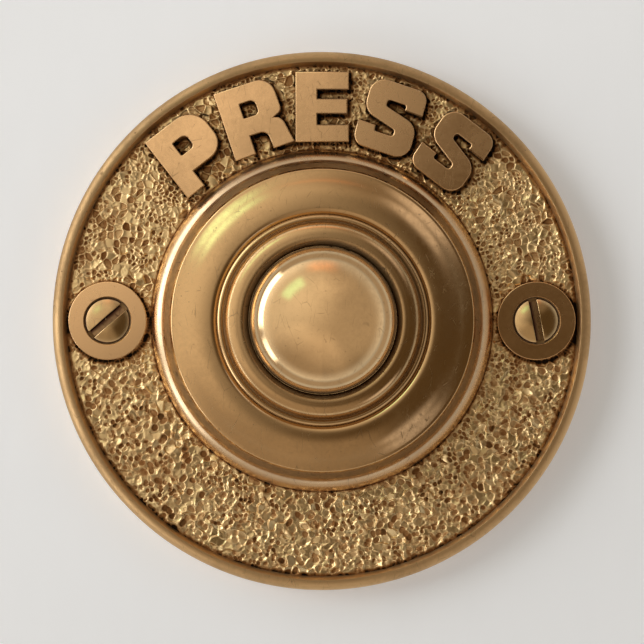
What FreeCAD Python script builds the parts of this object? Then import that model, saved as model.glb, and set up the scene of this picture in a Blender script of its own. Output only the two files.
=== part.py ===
import FreeCAD, Part
import math
import os

# Doorbell push: a round cast brass plate with a raised centre, a turned collar, a sprung domed
# button, and behind them an insulating base that carries the two contacts and their terminals.
#
# The part is kept as it hangs. +Z is up, the wall is the plane Y = 0, the front looks along -Y,
# and the origin is the centre of the back face. The pieces are drawn face up, with x to the
# right, y up the wall and z out of the wall, and each is turned upright when it is written.
# All sizes are in millimetres. Radii are measured from the axis of the button.

# Running and seating clearances
running_gap = 0.17
seat_gap = 0.05
thread_gap = 0.02
free_gap = 0.3

# Button: a turned hat with a low dome, a well rounded edge, a flange that stops it in the
# collar, and a stem
button_r = 10.28
button_dome_r = 19.0
button_edge_round = 3.47
button_proud = 0.9
button_travel = 2.0
flange_overhang = 1.22
flange_thickness = 1.1
button_wall = 1.58
button_hollow_rise = 1.0
stem_r = 2.2

# Insulating tip that stands between the stem and the spring contact
tip_r = 1.9
tip_length = 0.9
tip_bevel = 0.5
tip_peg_r = 1.1
tip_peg_length = 2.0
tip_clearance = 0.1

# Return spring
spring_mean_r = 4.5
spring_wire_r = 0.3
spring_half_turns = 8
spring_socket_depth = 0.4

# Collar: a turned ring that guides the button and is held from behind by a ring nut
roll_width = 2.9
roll_rise = 0.6
roll_edge_drop = 0.1
collar_lip_bevel = 0.25
collar_wall_batter = 0.65
collar_wall_height = 1.95
bead_width = 0.65
bead_height = 0.2
collar_bead_seat = 0.95
spigot_wall = 1.4
nut_width = 1.8
nut_thickness = 1.3
nut_slot_width = 1.8
nut_slot_depth = 0.9
nut_slots = 4
nut_slot_angle = 45.0
thread_end = 0.1

# Dome of the plate, from the collar's recess out to its lip, its steep side and its foot bead
seat_floor = 1.0
recess_depth = 0.7
crown_offset = 0.95
crown_rise = 0.3
ogee_fall = 21.0
ogee_fall_at = 0.72
lip_slope = 14.0
lip_bevel = 0.18
dome_wall = 0.8
dome_batter = 1.3
foot_bead_width = 1.5
foot_bead_rise = 2.3
cavity_corner = 1.4

# Plate: flat ground between the dome and the rim, hollowed a little behind
plate_r = 38.0
ground_z = 3.2
rim_height = 4.5
rim_shoulder = 1.2
rim_crest_width = 0.2
rim_inner_slope = 0.5
rim_wall = 2.8
back_recess_depth = 1.2
back_recess_slope = 0.4
back_land_width = 2.2

# Screw bosses to the left and right
boss_r = 5.5
boss_rise = 1.4
boss_bevel = 0.15
boss_from_rim = 5.8

# Wall screws: slotted raised countersunk wood screws, whose thread starts where the wall does
# and is kept as a plain rod of its mean radius
screw_head_r = 3.2
screw_head_rise = 0.8
screw_head_sink = 0.25
screw_head_edge = 0.1
screw_shank_r = 1.75
screw_thread_r = 1.5
screw_hole_gap = 0.25
screw_length = 25.4
screw_point_length = 4.0
screw_point_r = 0.25
screw_slot_width = 1.15
screw_slot_depth = 1.2
left_slot_angle = 41.0
right_slot_angle = 101.0

# Insulating base and the two screws that hold it to the plate
base_thickness = 2.2
base_edge_bevel = 0.4
press_clearance = 0.5
stem_hole_gap = 0.5
pillar_r = 2.3
pillar_margin = 0.6
base_screw_r = 1.25
base_screw_head_r = 2.2
base_screw_head_thickness = 1.2
base_screw_engagement = 2.2
base_screw_slot_width = 0.6
fence_height = 0.7
fence_thickness = 0.9
fence_length = 5.0

# Contacts
wall_air = 0.6
leaf_thickness = 0.3
leaf_root_r = 3.0
leaf_end_r = 1.9
strip_thickness = 0.4
strip_r = 2.6
strip_bend_inset = 4.3
strip_bend_run = 1.9
strip_bend_round = 0.3
strip_flat = 1.9
point_r = 1.1
point_height = 0.4
point_bevel = 0.13
point_shank_r = 0.5
point_air = 0.05

# Terminals
terminal_inset = 6.7
insert_r = 2.0
insert_flange_r = 2.6
insert_flange_thickness = 0.4
insert_air = 0.1
terminal_screw_r = 1.5
terminal_head_r = 2.3
terminal_head_thickness = 1.4
terminal_slot_width = 0.8
cheese_head_bevel = 0.3
washer_r = 2.8
washer_thickness = 0.4

# Heights, worked out from the wall forwards
strip_end_z = wall_air
fixed_point_z = strip_end_z + strip_thickness
moving_point_z = fixed_point_z + point_height + point_air + button_travel
leaf_z = moving_point_z + point_height
base_back_z = leaf_z + leaf_thickness
base_front_z = base_back_z + base_thickness
spigot_end_z = base_front_z + insert_flange_thickness + insert_air
nut_z = spigot_end_z + thread_end
roof_z = nut_z + nut_thickness
seat_z = roof_z + seat_floor
recess_edge_z = seat_z + recess_depth
crown_z = recess_edge_z + crown_rise
foot_bead_z = ground_z + foot_bead_rise
flange_z = base_front_z + press_clearance + button_travel
flange_top_z = flange_z + flange_thickness
shoulder_z = flange_top_z + seat_gap
bead_foot_z = seat_z + collar_bead_seat
collar_lip_z = bead_foot_z + collar_wall_height
roll_crest_z = collar_lip_z + roll_rise
collar_inner_z = collar_lip_z - roll_edge_drop
button_edge_z = collar_inner_z + button_proud
boss_top_z = ground_z + boss_rise

# Radii, worked out from the button outwards
button_bore_r = button_r - button_wall
bore_r = button_r + running_gap
roll_r = bore_r + roll_width
collar_wall_r = roll_r + collar_lip_bevel
bead_r = collar_wall_r + collar_wall_batter
collar_r = bead_r + bead_width
flange_r = button_r + flange_overhang
counterbore_r = flange_r + free_gap
spigot_r = counterbore_r + spigot_wall
plate_hole_r = spigot_r + seat_gap
recess_r = collar_r + seat_gap
crown_r = recess_r + crown_offset
nut_r = spigot_r + nut_width
pillar_pitch_r = nut_r + free_gap + pillar_r
cavity_r = pillar_pitch_r + pillar_r + pillar_margin
base_r = cavity_r - free_gap
terminal_x = base_r - terminal_inset
strip_bend_x = terminal_x - strip_bend_inset
strip_bend_end_x = strip_bend_x - strip_bend_run
contact_x = strip_bend_end_x - strip_flat
lip_r = cavity_r + dome_wall
steep_r = crown_r + (lip_r - lip_bevel - crown_r) * ogee_fall_at
foot_bead_r = lip_r + dome_batter
ground_inner_r = foot_bead_r + foot_bead_width
rim_crest_r = plate_r - rim_shoulder
rim_top_r = rim_crest_r - rim_crest_width
rim_foot_r = rim_top_r - rim_inner_slope
boss_x = rim_foot_r - boss_from_rim
stem_hole_r = stem_r + stem_hole_gap
spring_outer_r = spring_mean_r + spring_wire_r
spring_socket_r = spring_outer_r + free_gap
button_roof_z = button_edge_z + button_hollow_rise
spring_seat_z = base_front_z - spring_socket_depth

# Ogee of the dome: the drop along each of its two arcs is the run times the mean slope
steep_z = crown_z - (steep_r - crown_r) * math.tan(math.radians(ogee_fall / 2))
lip_z = steep_z - (lip_r - lip_bevel - steep_r) * math.tan(math.radians((ogee_fall + lip_slope) / 2))


class Outline:
    """A closed outline in the plane of radius and height, drawn from point to point."""

    def __init__(self, r, z):
        self.start = FreeCAD.Vector(r, 0, z)
        self.last = self.start
        self.edges = []

    def add(self, curve, end):
        self.edges.append(curve.toShape())
        self.last = end

    def to(self, r, z):
        """Straight on to a point."""
        end = FreeCAD.Vector(r, 0, z)
        self.add(Part.LineSegment(self.last, end), end)

    def arc(self, via_r, via_z, r, z):
        """Arc of a circle through a point on the way."""
        end = FreeCAD.Vector(r, 0, z)
        self.add(Part.Arc(self.last, FreeCAD.Vector(via_r, 0, via_z), end), end)

    def bend(self, r, z, leave):
        """Arc of a circle to a point, tangent to a heading at its start, in degrees above outwards."""
        chord = FreeCAD.Vector(r, 0, z) - self.last
        lean = math.radians(leave) - math.atan2(chord.z, chord.x)
        side = FreeCAD.Vector(-chord.z, 0, chord.x)
        via = self.last + chord / 2 + side * (math.tan(lean / 2) / 2)
        self.arc(via.x, via.z, r, z)

    def solid(self):
        """The outline closed and turned once round the axis of the button."""
        self.to(self.start.x, self.start.z)
        face = Part.Face(Part.Wire(self.edges))
        return face.revolve(FreeCAD.Vector(0, 0, 0), FreeCAD.Vector(0, 0, 1), 360)


def angle_between(r, z, end_r, end_z):
    """Heading from one point of an outline to another, in degrees above the outward radius."""
    return math.degrees(math.atan2(end_z - z, end_r - r))


def disc(r, z, height, x=0.0, y=0.0):
    """Plain cylinder that stands on height z at a place in the plan."""
    return Part.makeCylinder(r, height, FreeCAD.Vector(x, y, z))


def bar(length, width, height, z, angle=0.0):
    """Rectangular bar centred on the axis, with its underside at z, turned in the plan."""
    shape = Part.makeBox(length, width, height, FreeCAD.Vector(-length / 2, -width / 2, z))
    shape.rotate(FreeCAD.Vector(0, 0, 0), FreeCAD.Vector(0, 0, 1), angle)
    return shape


def moved(shape, x, y, z=0.0):
    """A copy of the shape at another place."""
    copy = shape.copy()
    copy.translate(FreeCAD.Vector(x, y, z))
    return copy


def plate_section():
    """Cast section: collar recess, ogee crown, steep dome side, foot bead, ground and rim."""
    section = Outline(plate_hole_r, roof_z)
    section.to(plate_hole_r, seat_z)
    section.to(recess_r, seat_z)
    section.to(recess_r, recess_edge_z)
    # ogee: up to the crown, over it, down to its steepest place and out flatter to the lip
    section.bend(crown_r, crown_z, 2 * angle_between(recess_r, recess_edge_z, crown_r, crown_z))
    section.bend(steep_r, steep_z, 0)
    section.bend(lip_r - lip_bevel, lip_z, -ogee_fall)
    section.to(lip_r, lip_z - lip_bevel)
    section.to(foot_bead_r, foot_bead_z)
    # foot bead: one arc that meets the ground upright
    bead_fall = angle_between(foot_bead_r, foot_bead_z, ground_inner_r, ground_z)
    section.bend(ground_inner_r, ground_z, 2 * bead_fall + 90)
    section.to(rim_foot_r, ground_z)
    # rim: sloped inner side, then one round over the crest and down into the outer side
    round_z = rim_height - rim_shoulder
    section.to(rim_top_r, round_z + math.sqrt(rim_shoulder ** 2 - rim_crest_width ** 2))
    half = rim_shoulder / math.sqrt(2)
    section.arc(rim_crest_r + half, round_z + half, plate_r, round_z)
    section.to(plate_r, 0)
    section.to(cavity_r, 0)
    section.to(cavity_r, roof_z - cavity_corner)
    section.to(cavity_r - cavity_corner, roof_z)
    return section


def back_recess():
    """Shallow ring that lightens the plate behind its ground, round the bosses."""
    inner = cavity_r + back_land_width
    outer = plate_r - rim_wall
    ring = Outline(inner, 0)
    ring.to(inner + back_recess_slope, back_recess_depth)
    ring.to(outer - back_recess_slope, back_recess_depth)
    ring.to(outer, 0)
    hollow = ring.solid()
    for side in (-1, 1):
        hollow = hollow.cut(disc(boss_r, 0, back_recess_depth, side * boss_x))
    return hollow


def screw_boss():
    """Flat boss on the ground with a small bevel round its top."""
    boss = Outline(0, ground_z / 2)
    boss.to(boss_r, ground_z / 2)
    boss.to(boss_r, boss_top_z - boss_bevel)
    boss.to(boss_r - boss_bevel, boss_top_z)
    boss.to(0, boss_top_z)
    return boss.solid()


def countersunk_hole():
    """Clearance hole for a wall screw, countersunk at 90 degrees from the boss."""
    mouth_r = screw_head_r + screw_head_sink
    hole_r = screw_shank_r + screw_hole_gap
    hole = Outline(0, 0)
    hole.to(hole_r, 0)
    hole.to(hole_r, boss_top_z - (mouth_r - hole_r))
    hole.to(mouth_r, boss_top_z)
    hole.to(0, boss_top_z)
    return hole.solid()


def face_plate():
    """The one casting: section, bosses, pillars for the base, screw holes and back hollow."""
    plate = plate_section().solid()
    for side in (-1, 1):
        plate = plate.fuse(moved(screw_boss(), side * boss_x, 0))
        pillar = disc(pillar_r, base_front_z, roof_z - base_front_z + seat_floor / 2)
        plate = plate.fuse(moved(pillar, 0, side * pillar_pitch_r))
    plate = plate.cut(back_recess())
    tapped = disc(base_screw_r + thread_gap, base_front_z, base_screw_engagement + free_gap)
    for side in (-1, 1):
        plate = plate.cut(moved(countersunk_hole(), side * boss_x, 0))
        plate = plate.cut(moved(tapped, 0, side * pillar_pitch_r))
    return plate.removeSplitter()


def button_collar():
    """Turned collar: rolled front, steep groove, small bead, and a spigot bored for the button."""
    collar = Outline(counterbore_r, spigot_end_z)
    collar.to(counterbore_r, shoulder_z)
    collar.to(bore_r, shoulder_z)
    collar.to(bore_r, collar_inner_z)
    crest_r = bore_r + roll_width / 2
    collar.arc(crest_r, roll_crest_z, roll_r, collar_lip_z)
    collar.to(collar_wall_r, collar_lip_z - collar_lip_bevel)
    collar.to(bead_r, bead_foot_z)
    collar.arc(bead_r + bead_width / 2, bead_foot_z + bead_height, collar_r, bead_foot_z - bead_height)
    collar.to(collar_r, seat_z)
    collar.to(spigot_r, seat_z)
    collar.to(spigot_r, spigot_end_z)
    return collar.solid()


def collar_nut():
    """Ring nut that draws the collar into its recess, with spanner slots in its back."""
    ring = disc(nut_r, nut_z, nut_thickness).cut(
        disc(spigot_r + thread_gap, nut_z, nut_thickness)
    )
    for step in range(nut_slots // 2):
        angle = nut_slot_angle + step * 360 / nut_slots
        ring = ring.cut(bar(3 * nut_r, nut_slot_width, nut_slot_depth, nut_z, angle))
    return ring


def push_button():
    """Turned button: low dome, rounded edge, stop flange, hollow for the spring, and the stem."""
    stem_end_z = leaf_z + leaf_thickness + tip_clearance + tip_length
    round_r = button_r - button_edge_round
    # the slope at which the rounded edge runs on into the dome
    dome_tilt = math.asin(round_r / (button_dome_r - button_edge_round))
    dome_z = button_edge_z - (button_dome_r - button_edge_round) * math.cos(dome_tilt)
    hat = Outline(0, stem_end_z + tip_peg_length)
    hat.to(tip_peg_r, stem_end_z + tip_peg_length)
    hat.to(tip_peg_r, stem_end_z)
    hat.to(stem_r, stem_end_z)
    hat.to(stem_r, button_roof_z)
    hat.to(button_bore_r, button_roof_z)
    hat.to(button_bore_r, flange_z)
    hat.to(flange_r, flange_z)
    hat.to(flange_r, flange_top_z)
    hat.to(button_r, flange_top_z)
    hat.to(button_r, button_edge_z)
    hat.bend(
        button_dome_r * math.sin(dome_tilt),
        dome_z + button_dome_r * math.cos(dome_tilt),
        90,
    )
    hat.arc(
        button_dome_r * math.sin(dome_tilt / 2),
        dome_z + button_dome_r * math.cos(dome_tilt / 2),
        0,
        dome_z + button_dome_r,
    )
    return hat.solid()


def button_tip():
    """Insulating tip pressed into the end of the stem, bevelled where it meets the contact."""
    tip_z = leaf_z + leaf_thickness + tip_clearance
    tip = Outline(0, tip_z)
    tip.to(tip_r - tip_bevel, tip_z)
    tip.to(tip_r, tip_z + tip_bevel)
    tip.to(tip_r, tip_z + tip_length)
    tip.to(tip_peg_r - thread_gap, tip_z + tip_length)
    tip.to(tip_peg_r - thread_gap, tip_z + tip_length + tip_peg_length - seat_gap)
    tip.to(0, tip_z + tip_length + tip_peg_length - seat_gap)
    return tip.solid()


def return_spring():
    """Coil of round wire from the base to the button, each half turn one arc, its ends ground flat."""
    length = button_roof_z - spring_seat_z
    rise = length / spring_half_turns
    arcs = []
    for step in range(spring_half_turns):
        side = 1 if step % 2 == 0 else -1
        z = spring_seat_z + step * rise
        arcs.append(Part.Arc(
            FreeCAD.Vector(side * spring_mean_r, 0, z),
            FreeCAD.Vector(0, side * spring_mean_r, z + rise / 2),
            FreeCAD.Vector(-side * spring_mean_r, 0, z + rise),
        ).toShape())
    start = FreeCAD.Vector(spring_mean_r, 0, spring_seat_z)
    section = Part.Wire(Part.makeCircle(spring_wire_r, start, FreeCAD.Vector(0, 1, 0)))
    coil = Part.Wire(arcs).makePipeShell([section], True, False)
    return coil.common(disc(2 * spring_mean_r, spring_seat_z, length))


def strip_fence(x, half_width):
    """A pair of ribs on the back of the base that keep a contact from turning."""
    inner = half_width + free_gap
    rib = Part.makeBox(fence_length, fence_thickness, fence_height)
    ribs = []
    for y in (inner, -inner - fence_thickness):
        ribs.append(moved(rib, x - fence_length / 2, y, base_back_z - fence_height))
    return ribs


def contact_base():
    """Moulded disc: spring socket and stem hole, screw and insert holes, ribs behind."""
    base = Outline(stem_hole_r, base_back_z)
    base.to(base_r - base_edge_bevel, base_back_z)
    base.to(base_r, base_back_z + base_edge_bevel)
    base.to(base_r, base_front_z - base_edge_bevel)
    base.to(base_r - base_edge_bevel, base_front_z)
    base.to(spring_socket_r, base_front_z)
    base.to(spring_socket_r, spring_seat_z)
    base.to(stem_hole_r, spring_seat_z)
    moulding = base.solid()
    for rib in strip_fence(-terminal_x + fence_length, leaf_root_r) + strip_fence(terminal_x, strip_r):
        moulding = moulding.fuse(rib)
    for side in (-1, 1):
        screw_hole = disc(base_screw_r + free_gap, base_back_z, base_thickness)
        insert_hole = disc(insert_r + thread_gap, base_back_z, base_thickness)
        moulding = moulding.cut(moved(screw_hole, 0, side * pillar_pitch_r))
        moulding = moulding.cut(moved(insert_hole, side * terminal_x, 0))
    return moulding


def terminal_insert():
    """Tapped brass bush with a flange on the front of the base."""
    bush = disc(insert_r, base_back_z, base_thickness)
    bush = bush.fuse(disc(insert_flange_r, base_front_z, insert_flange_thickness))
    bore = disc(terminal_screw_r + thread_gap, base_back_z, base_thickness + insert_flange_thickness)
    return bush.cut(bore).removeSplitter()


def slotted_screw(head_r, head_thickness, shank_r, length, slot_width):
    """Cheese-headed screw that points up z, with the underside of its head at zero."""
    head = disc(head_r, -head_thickness, head_thickness)
    rim = [edge for edge in head.Edges if edge.BoundBox.ZMax < -head_thickness / 2]
    head = head.makeChamfer(cheese_head_bevel, rim)
    head = head.cut(bar(3 * head_r, slot_width, head_thickness / 2, -head_thickness))
    return head.fuse(disc(shank_r, 0, length)).removeSplitter()


def terminal_screw(contact_thickness):
    """Screw that clamps a wire and a contact to the insert, through the washer."""
    stack = contact_thickness + washer_thickness
    length = stack + base_thickness
    screw = slotted_screw(
        terminal_head_r, terminal_head_thickness, terminal_screw_r, length, terminal_slot_width
    )
    return moved(screw, 0, 0, base_back_z - stack)


def terminal_washer(contact_thickness):
    """Plain washer between the contact and the head of the terminal screw."""
    ring = disc(washer_r, 0, washer_thickness)
    ring = ring.cut(disc(terminal_screw_r + seat_gap, 0, washer_thickness))
    return moved(ring, 0, 0, base_back_z - contact_thickness - washer_thickness)


def base_screw():
    """Screw that holds the base against a pillar of the plate."""
    length = base_thickness + base_screw_engagement
    screw = slotted_screw(
        base_screw_head_r, base_screw_head_thickness, base_screw_r, length, base_screw_slot_width
    )
    return moved(screw, 0, 0, base_back_z)


def moving_contact():
    """Springy leaf from the left terminal, past the stem, to its own contact point."""
    root = FreeCAD.Vector(-terminal_x, 0, leaf_z)
    end = FreeCAD.Vector(contact_x, 0, leaf_z)
    reach = root.distanceToPoint(end)
    lean = math.asin((leaf_root_r - leaf_end_r) / reach)
    side = FreeCAD.Vector(math.sin(lean), math.cos(lean), 0)
    mirror = FreeCAD.Vector(math.sin(lean), -math.cos(lean), 0)
    edges = [
        Part.LineSegment(root + side * leaf_root_r, end + side * leaf_end_r).toShape(),
        Part.Arc(
            end + side * leaf_end_r, end + FreeCAD.Vector(leaf_end_r, 0, 0), end + mirror * leaf_end_r
        ).toShape(),
        Part.LineSegment(end + mirror * leaf_end_r, root + mirror * leaf_root_r).toShape(),
        Part.Arc(
            root + mirror * leaf_root_r, root - FreeCAD.Vector(leaf_root_r, 0, 0), root + side * leaf_root_r
        ).toShape(),
    ]
    leaf = Part.Face(Part.Wire(edges)).extrude(FreeCAD.Vector(0, 0, leaf_thickness))
    leaf = leaf.cut(disc(terminal_screw_r + seat_gap, leaf_z, leaf_thickness, -terminal_x))
    return leaf.cut(disc(point_shank_r + seat_gap, leaf_z, leaf_thickness, contact_x))


def fixed_contact():
    """Strip from the right terminal, set back by two bends to lie under the leaf's point."""
    top = base_back_z
    low = strip_end_z + strip_thickness
    far = terminal_x + strip_r
    near = contact_x - strip_r
    slant = math.atan2(top - low, strip_bend_run)
    shift = strip_thickness * math.tan(slant / 2)
    corners = [
        (far, top),
        (strip_bend_x, top),
        (strip_bend_end_x, low),
        (near, low),
        (near, low - strip_thickness),
        (strip_bend_end_x + shift, low - strip_thickness),
        (strip_bend_x + shift, top - strip_thickness),
        (far, top - strip_thickness),
    ]
    outline = [FreeCAD.Vector(x, -strip_r, z) for x, z in corners]
    side_view = Part.Face(Part.makePolygon(outline + outline[:1]))
    strip = side_view.extrude(FreeCAD.Vector(0, 2 * strip_r, 0))
    bends = [
        edge for edge in strip.Edges
        if abs(edge.BoundBox.YLength - 2 * strip_r) < seat_gap
        and strip_bend_end_x - seat_gap < edge.CenterOfMass.x < strip_bend_x + shift + seat_gap
    ]
    strip = strip.makeFillet(strip_bend_round, bends)
    depth = top - strip_end_z
    plan = disc(strip_r, strip_end_z, depth, terminal_x).fuse(disc(strip_r, strip_end_z, depth, contact_x))
    plan = plan.fuse(Part.makeBox(
        terminal_x - contact_x, 2 * strip_r, depth,
        FreeCAD.Vector(contact_x, -strip_r, strip_end_z),
    ))
    strip = strip.common(plan)
    strip = strip.cut(disc(terminal_screw_r + seat_gap, strip_end_z, depth, terminal_x))
    return strip.cut(disc(point_shank_r + seat_gap, strip_end_z, strip_thickness, contact_x))


def contact_point(metal_thickness, shank_side):
    """Riveted contact point: a round head, and a shank through the strip that carries it."""
    face_z = 0.0 if shank_side > 0 else point_height
    shank_z = point_height if shank_side > 0 else -metal_thickness
    head = disc(point_r, 0, point_height)
    flat = [edge for edge in head.Edges if edge.BoundBox.ZLength < seat_gap]
    front = [edge for edge in flat if abs(edge.CenterOfMass.z - face_z) < seat_gap]
    head = head.makeChamfer(point_bevel, front)
    return head.fuse(disc(point_shank_r, shank_z, metal_thickness)).removeSplitter()


def wall_screw(slot_angle):
    """Slotted raised countersunk wood screw: plain shank in the plate, then the uncut thread."""
    edge_z = boss_top_z - screw_head_sink
    cone_z = edge_z - screw_head_edge
    cone_r = screw_head_r - screw_head_edge
    neck_z = cone_z - (cone_r - screw_shank_r)
    point_z = edge_z - screw_length
    dome_r = (screw_head_r ** 2 + screw_head_rise ** 2) / (2 * screw_head_rise)
    dome_z = edge_z + screw_head_rise - dome_r
    half = screw_head_r / 2
    screw = Outline(0, point_z)
    screw.to(screw_point_r, point_z)
    screw.to(screw_thread_r, point_z + screw_point_length)
    screw.to(screw_thread_r, 0)
    screw.to(screw_shank_r, 0)
    screw.to(screw_shank_r, neck_z)
    screw.to(cone_r, cone_z)
    screw.to(screw_head_r, cone_z + screw_head_edge / 2)
    screw.to(screw_head_r, edge_z)
    screw.arc(half, dome_z + math.sqrt(dome_r ** 2 - half ** 2), 0, edge_z + screw_head_rise)
    slot_z = edge_z + screw_head_rise - screw_slot_depth
    slot = bar(3 * screw_head_r, screw_slot_width, 2 * screw_slot_depth, slot_z, slot_angle)
    return screw.solid().cut(slot)


pieces = {
    "face_plate": face_plate(),
    "button_collar": button_collar(),
    "collar_nut": collar_nut(),
    "push_button": push_button(),
    "button_tip": button_tip(),
    "return_spring": return_spring(),
    "contact_base": contact_base(),
    "moving_contact": moving_contact(),
    "moving_contact_point": moved(contact_point(leaf_thickness, 1), contact_x, 0, moving_point_z),
    "fixed_contact": fixed_contact(),
    "fixed_contact_point": moved(contact_point(strip_thickness, -1), contact_x, 0, fixed_point_z),
    "terminal_insert_left": moved(terminal_insert(), -terminal_x, 0),
    "terminal_insert_right": moved(terminal_insert(), terminal_x, 0),
    "terminal_washer_left": moved(terminal_washer(leaf_thickness), -terminal_x, 0),
    "terminal_washer_right": moved(terminal_washer(strip_thickness), terminal_x, 0),
    "terminal_screw_left": moved(terminal_screw(leaf_thickness), -terminal_x, 0),
    "terminal_screw_right": moved(terminal_screw(strip_thickness), terminal_x, 0),
    "base_screw_upper": moved(base_screw(), 0, pillar_pitch_r),
    "base_screw_lower": moved(base_screw(), 0, -pillar_pitch_r),
    "wall_screw_left": moved(wall_screw(left_slot_angle), -boss_x, 0),
    "wall_screw_right": moved(wall_screw(right_slot_angle), boss_x, 0),
}

os.makedirs("parts", exist_ok=True)
for name, shape in pieces.items():
    # upright: what was up the wall turns to +Z, and what faced out of the wall turns to -Y
    shape.rotate(FreeCAD.Vector(0, 0, 0), FreeCAD.Vector(1, 0, 0), 90)
    shape.exportStep("parts/" + name + ".step")
    print(name, "valid", shape.isValid(), "solids", len(shape.Solids), "mm3", round(shape.Volume, 2))
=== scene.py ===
# %% [markdown]
# # A brass doorbell push, dressed for the camera
# The push is a round brass casting with a raised centre, a turned collar, a sprung domed button and
# two wood screws. Behind it sit the contacts that ring the bell. The frame already holds every piece
# at its real size, so this lesson gives the pieces their smooth surfaces, their texture and their
# metal. Each step first says what the thing is on the real object, then how it is made here.

import bpy
import numpy as np
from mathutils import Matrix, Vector


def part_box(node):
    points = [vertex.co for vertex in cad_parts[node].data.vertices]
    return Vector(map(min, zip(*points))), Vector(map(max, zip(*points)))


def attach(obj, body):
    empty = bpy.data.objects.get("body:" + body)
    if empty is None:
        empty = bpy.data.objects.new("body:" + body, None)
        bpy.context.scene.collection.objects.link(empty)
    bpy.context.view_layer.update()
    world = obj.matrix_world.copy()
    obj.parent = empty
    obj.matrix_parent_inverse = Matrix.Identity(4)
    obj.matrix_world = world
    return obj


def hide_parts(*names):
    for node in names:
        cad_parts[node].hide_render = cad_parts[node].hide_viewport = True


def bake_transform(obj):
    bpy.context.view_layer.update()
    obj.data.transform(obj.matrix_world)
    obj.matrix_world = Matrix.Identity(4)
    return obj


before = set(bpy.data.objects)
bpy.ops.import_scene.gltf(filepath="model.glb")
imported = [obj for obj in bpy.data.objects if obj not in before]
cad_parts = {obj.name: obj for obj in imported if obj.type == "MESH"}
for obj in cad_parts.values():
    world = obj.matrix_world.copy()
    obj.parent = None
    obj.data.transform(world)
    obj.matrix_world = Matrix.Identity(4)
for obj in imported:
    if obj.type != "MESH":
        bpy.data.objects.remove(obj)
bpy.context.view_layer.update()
MM = 0.001
print("nodes in the frame:", len(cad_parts))

# %% [markdown]
# ## Sizes that the pieces share
# A round piece is easiest to draw face up: x to the right, y up the wall and z out of the wall, in
# millimetres, with radii from the axis of the button. The outer sizes are read from the frame, so a
# skin always lies on what carries it. A skin stands 0.05 mm proud, which is far too little to see
# and enough to keep the casting's own facets under it.

# %% Shared sizes
plate_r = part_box("face_plate")[1].x / MM
collar_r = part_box("button_collar")[1].x / MM
collar_back = -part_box("button_collar")[1].y / MM
collar_crest = -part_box("button_collar")[0].y / MM
crown_z = -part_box("face_plate")[0].y / MM
leaf_box = [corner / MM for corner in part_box("moving_contact")]
spring_box = [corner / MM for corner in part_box("return_spring")]
screw_box = [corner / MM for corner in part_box("wall_screw_left")]
boss_x = -(screw_box[0].x + screw_box[1].x) / 2
proud = 0.05
ground_z = 3.2
ground_inner_r = 24.1
rim_foot_r = 36.1
boss_r = 5.5
boss_top_z = 4.6
print("plate radius", round(plate_r, 2), "collar radius", round(collar_r, 2), "boss at", round(boss_x, 2))


# %% [markdown]
# ## From arrays to a mesh
# Every new surface here is worked out as whole arrays of points. One small function stands the
# points upright in the frame, and another hands points and faces to Blender. Quads that are listed
# counter-clockwise from outside give faces that point outwards.

# %% Mesh helpers
def new_object(name, data):
    """An object for a mesh, a lamp or a camera, linked to the scene."""
    item = bpy.data.objects.new(name, data)
    bpy.context.scene.collection.objects.link(item)
    return item


def upright(points):
    """Face-up points in mm, turned a quarter about x: (x, y, z) becomes (x, -z, y), in metres."""
    points = np.asarray(points, float)
    return np.stack([points[..., 0], -points[..., 2], points[..., 1]], axis=-1) * MM


def make_mesh(name, points, faces):
    """A mesh from an array of points and a list of arrays of faces, each with equal corners."""
    mesh = bpy.data.meshes.new(name)
    corners = np.concatenate([group.ravel() for group in faces]).astype(np.int32)
    sizes = np.concatenate([np.full(len(group), group.shape[1]) for group in faces])
    starts = np.concatenate([[0], np.cumsum(sizes)[:-1]]).astype(np.int32)
    mesh.vertices.add(len(points))
    mesh.vertices.foreach_set("co", upright(points).ravel().astype(np.float32))
    mesh.loops.add(len(corners))
    mesh.loops.foreach_set("vertex_index", corners)
    mesh.polygons.add(len(starts))
    mesh.polygons.foreach_set("loop_start", starts)
    mesh.update(calc_edges=True)
    mesh.shade_smooth()
    return mesh


def add_piece(name, mesh, material, body, replaced=(), crisp=False):
    """Puts a mesh in the scene as a piece of the push, on its body and with its material slot."""
    piece = new_object(name, mesh)
    mesh.materials.append(material)
    if crisp:
        piece.modifiers.new("Flat faces stay flat", "WEIGHTED_NORMAL").keep_sharp = True
    if body:
        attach(piece, body)
    if replaced:
        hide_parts(*replaced)
    print(name, len(mesh.vertices), "points,", len(mesh.polygons), "faces")
    return piece


def set_attribute(mesh, name, values):
    """Stores one number per point under a name that a material can read."""
    attribute = mesh.attributes.new(name, "FLOAT", "POINT")
    attribute.data.foreach_set("value", np.asarray(values, np.float32).ravel())


def points_of(mesh):
    """The points of a mesh as an array of rows (x, y, z)."""
    flat = np.zeros(len(mesh.vertices) * 3)
    mesh.vertices.foreach_get("co", flat)
    return flat.reshape(-1, 3)


def ring_faces(rows):
    """Quads between rows of point numbers, where each row is a closed ring."""
    beside = np.roll(rows, -1, axis=1)
    return np.stack([rows[:-1], rows[1:], beside[1:], beside[:-1]], axis=-1).reshape(-1, 4)


# %% [markdown]
# ## Drawing an outline
# A turned piece is one outline spun round an axis, as it is in a lathe. The outline is a list of
# corners, each with the radius of its round, because no real edge is perfectly sharp and it is the
# small rounds that catch the light. Long curves are arcs of circles.

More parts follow.
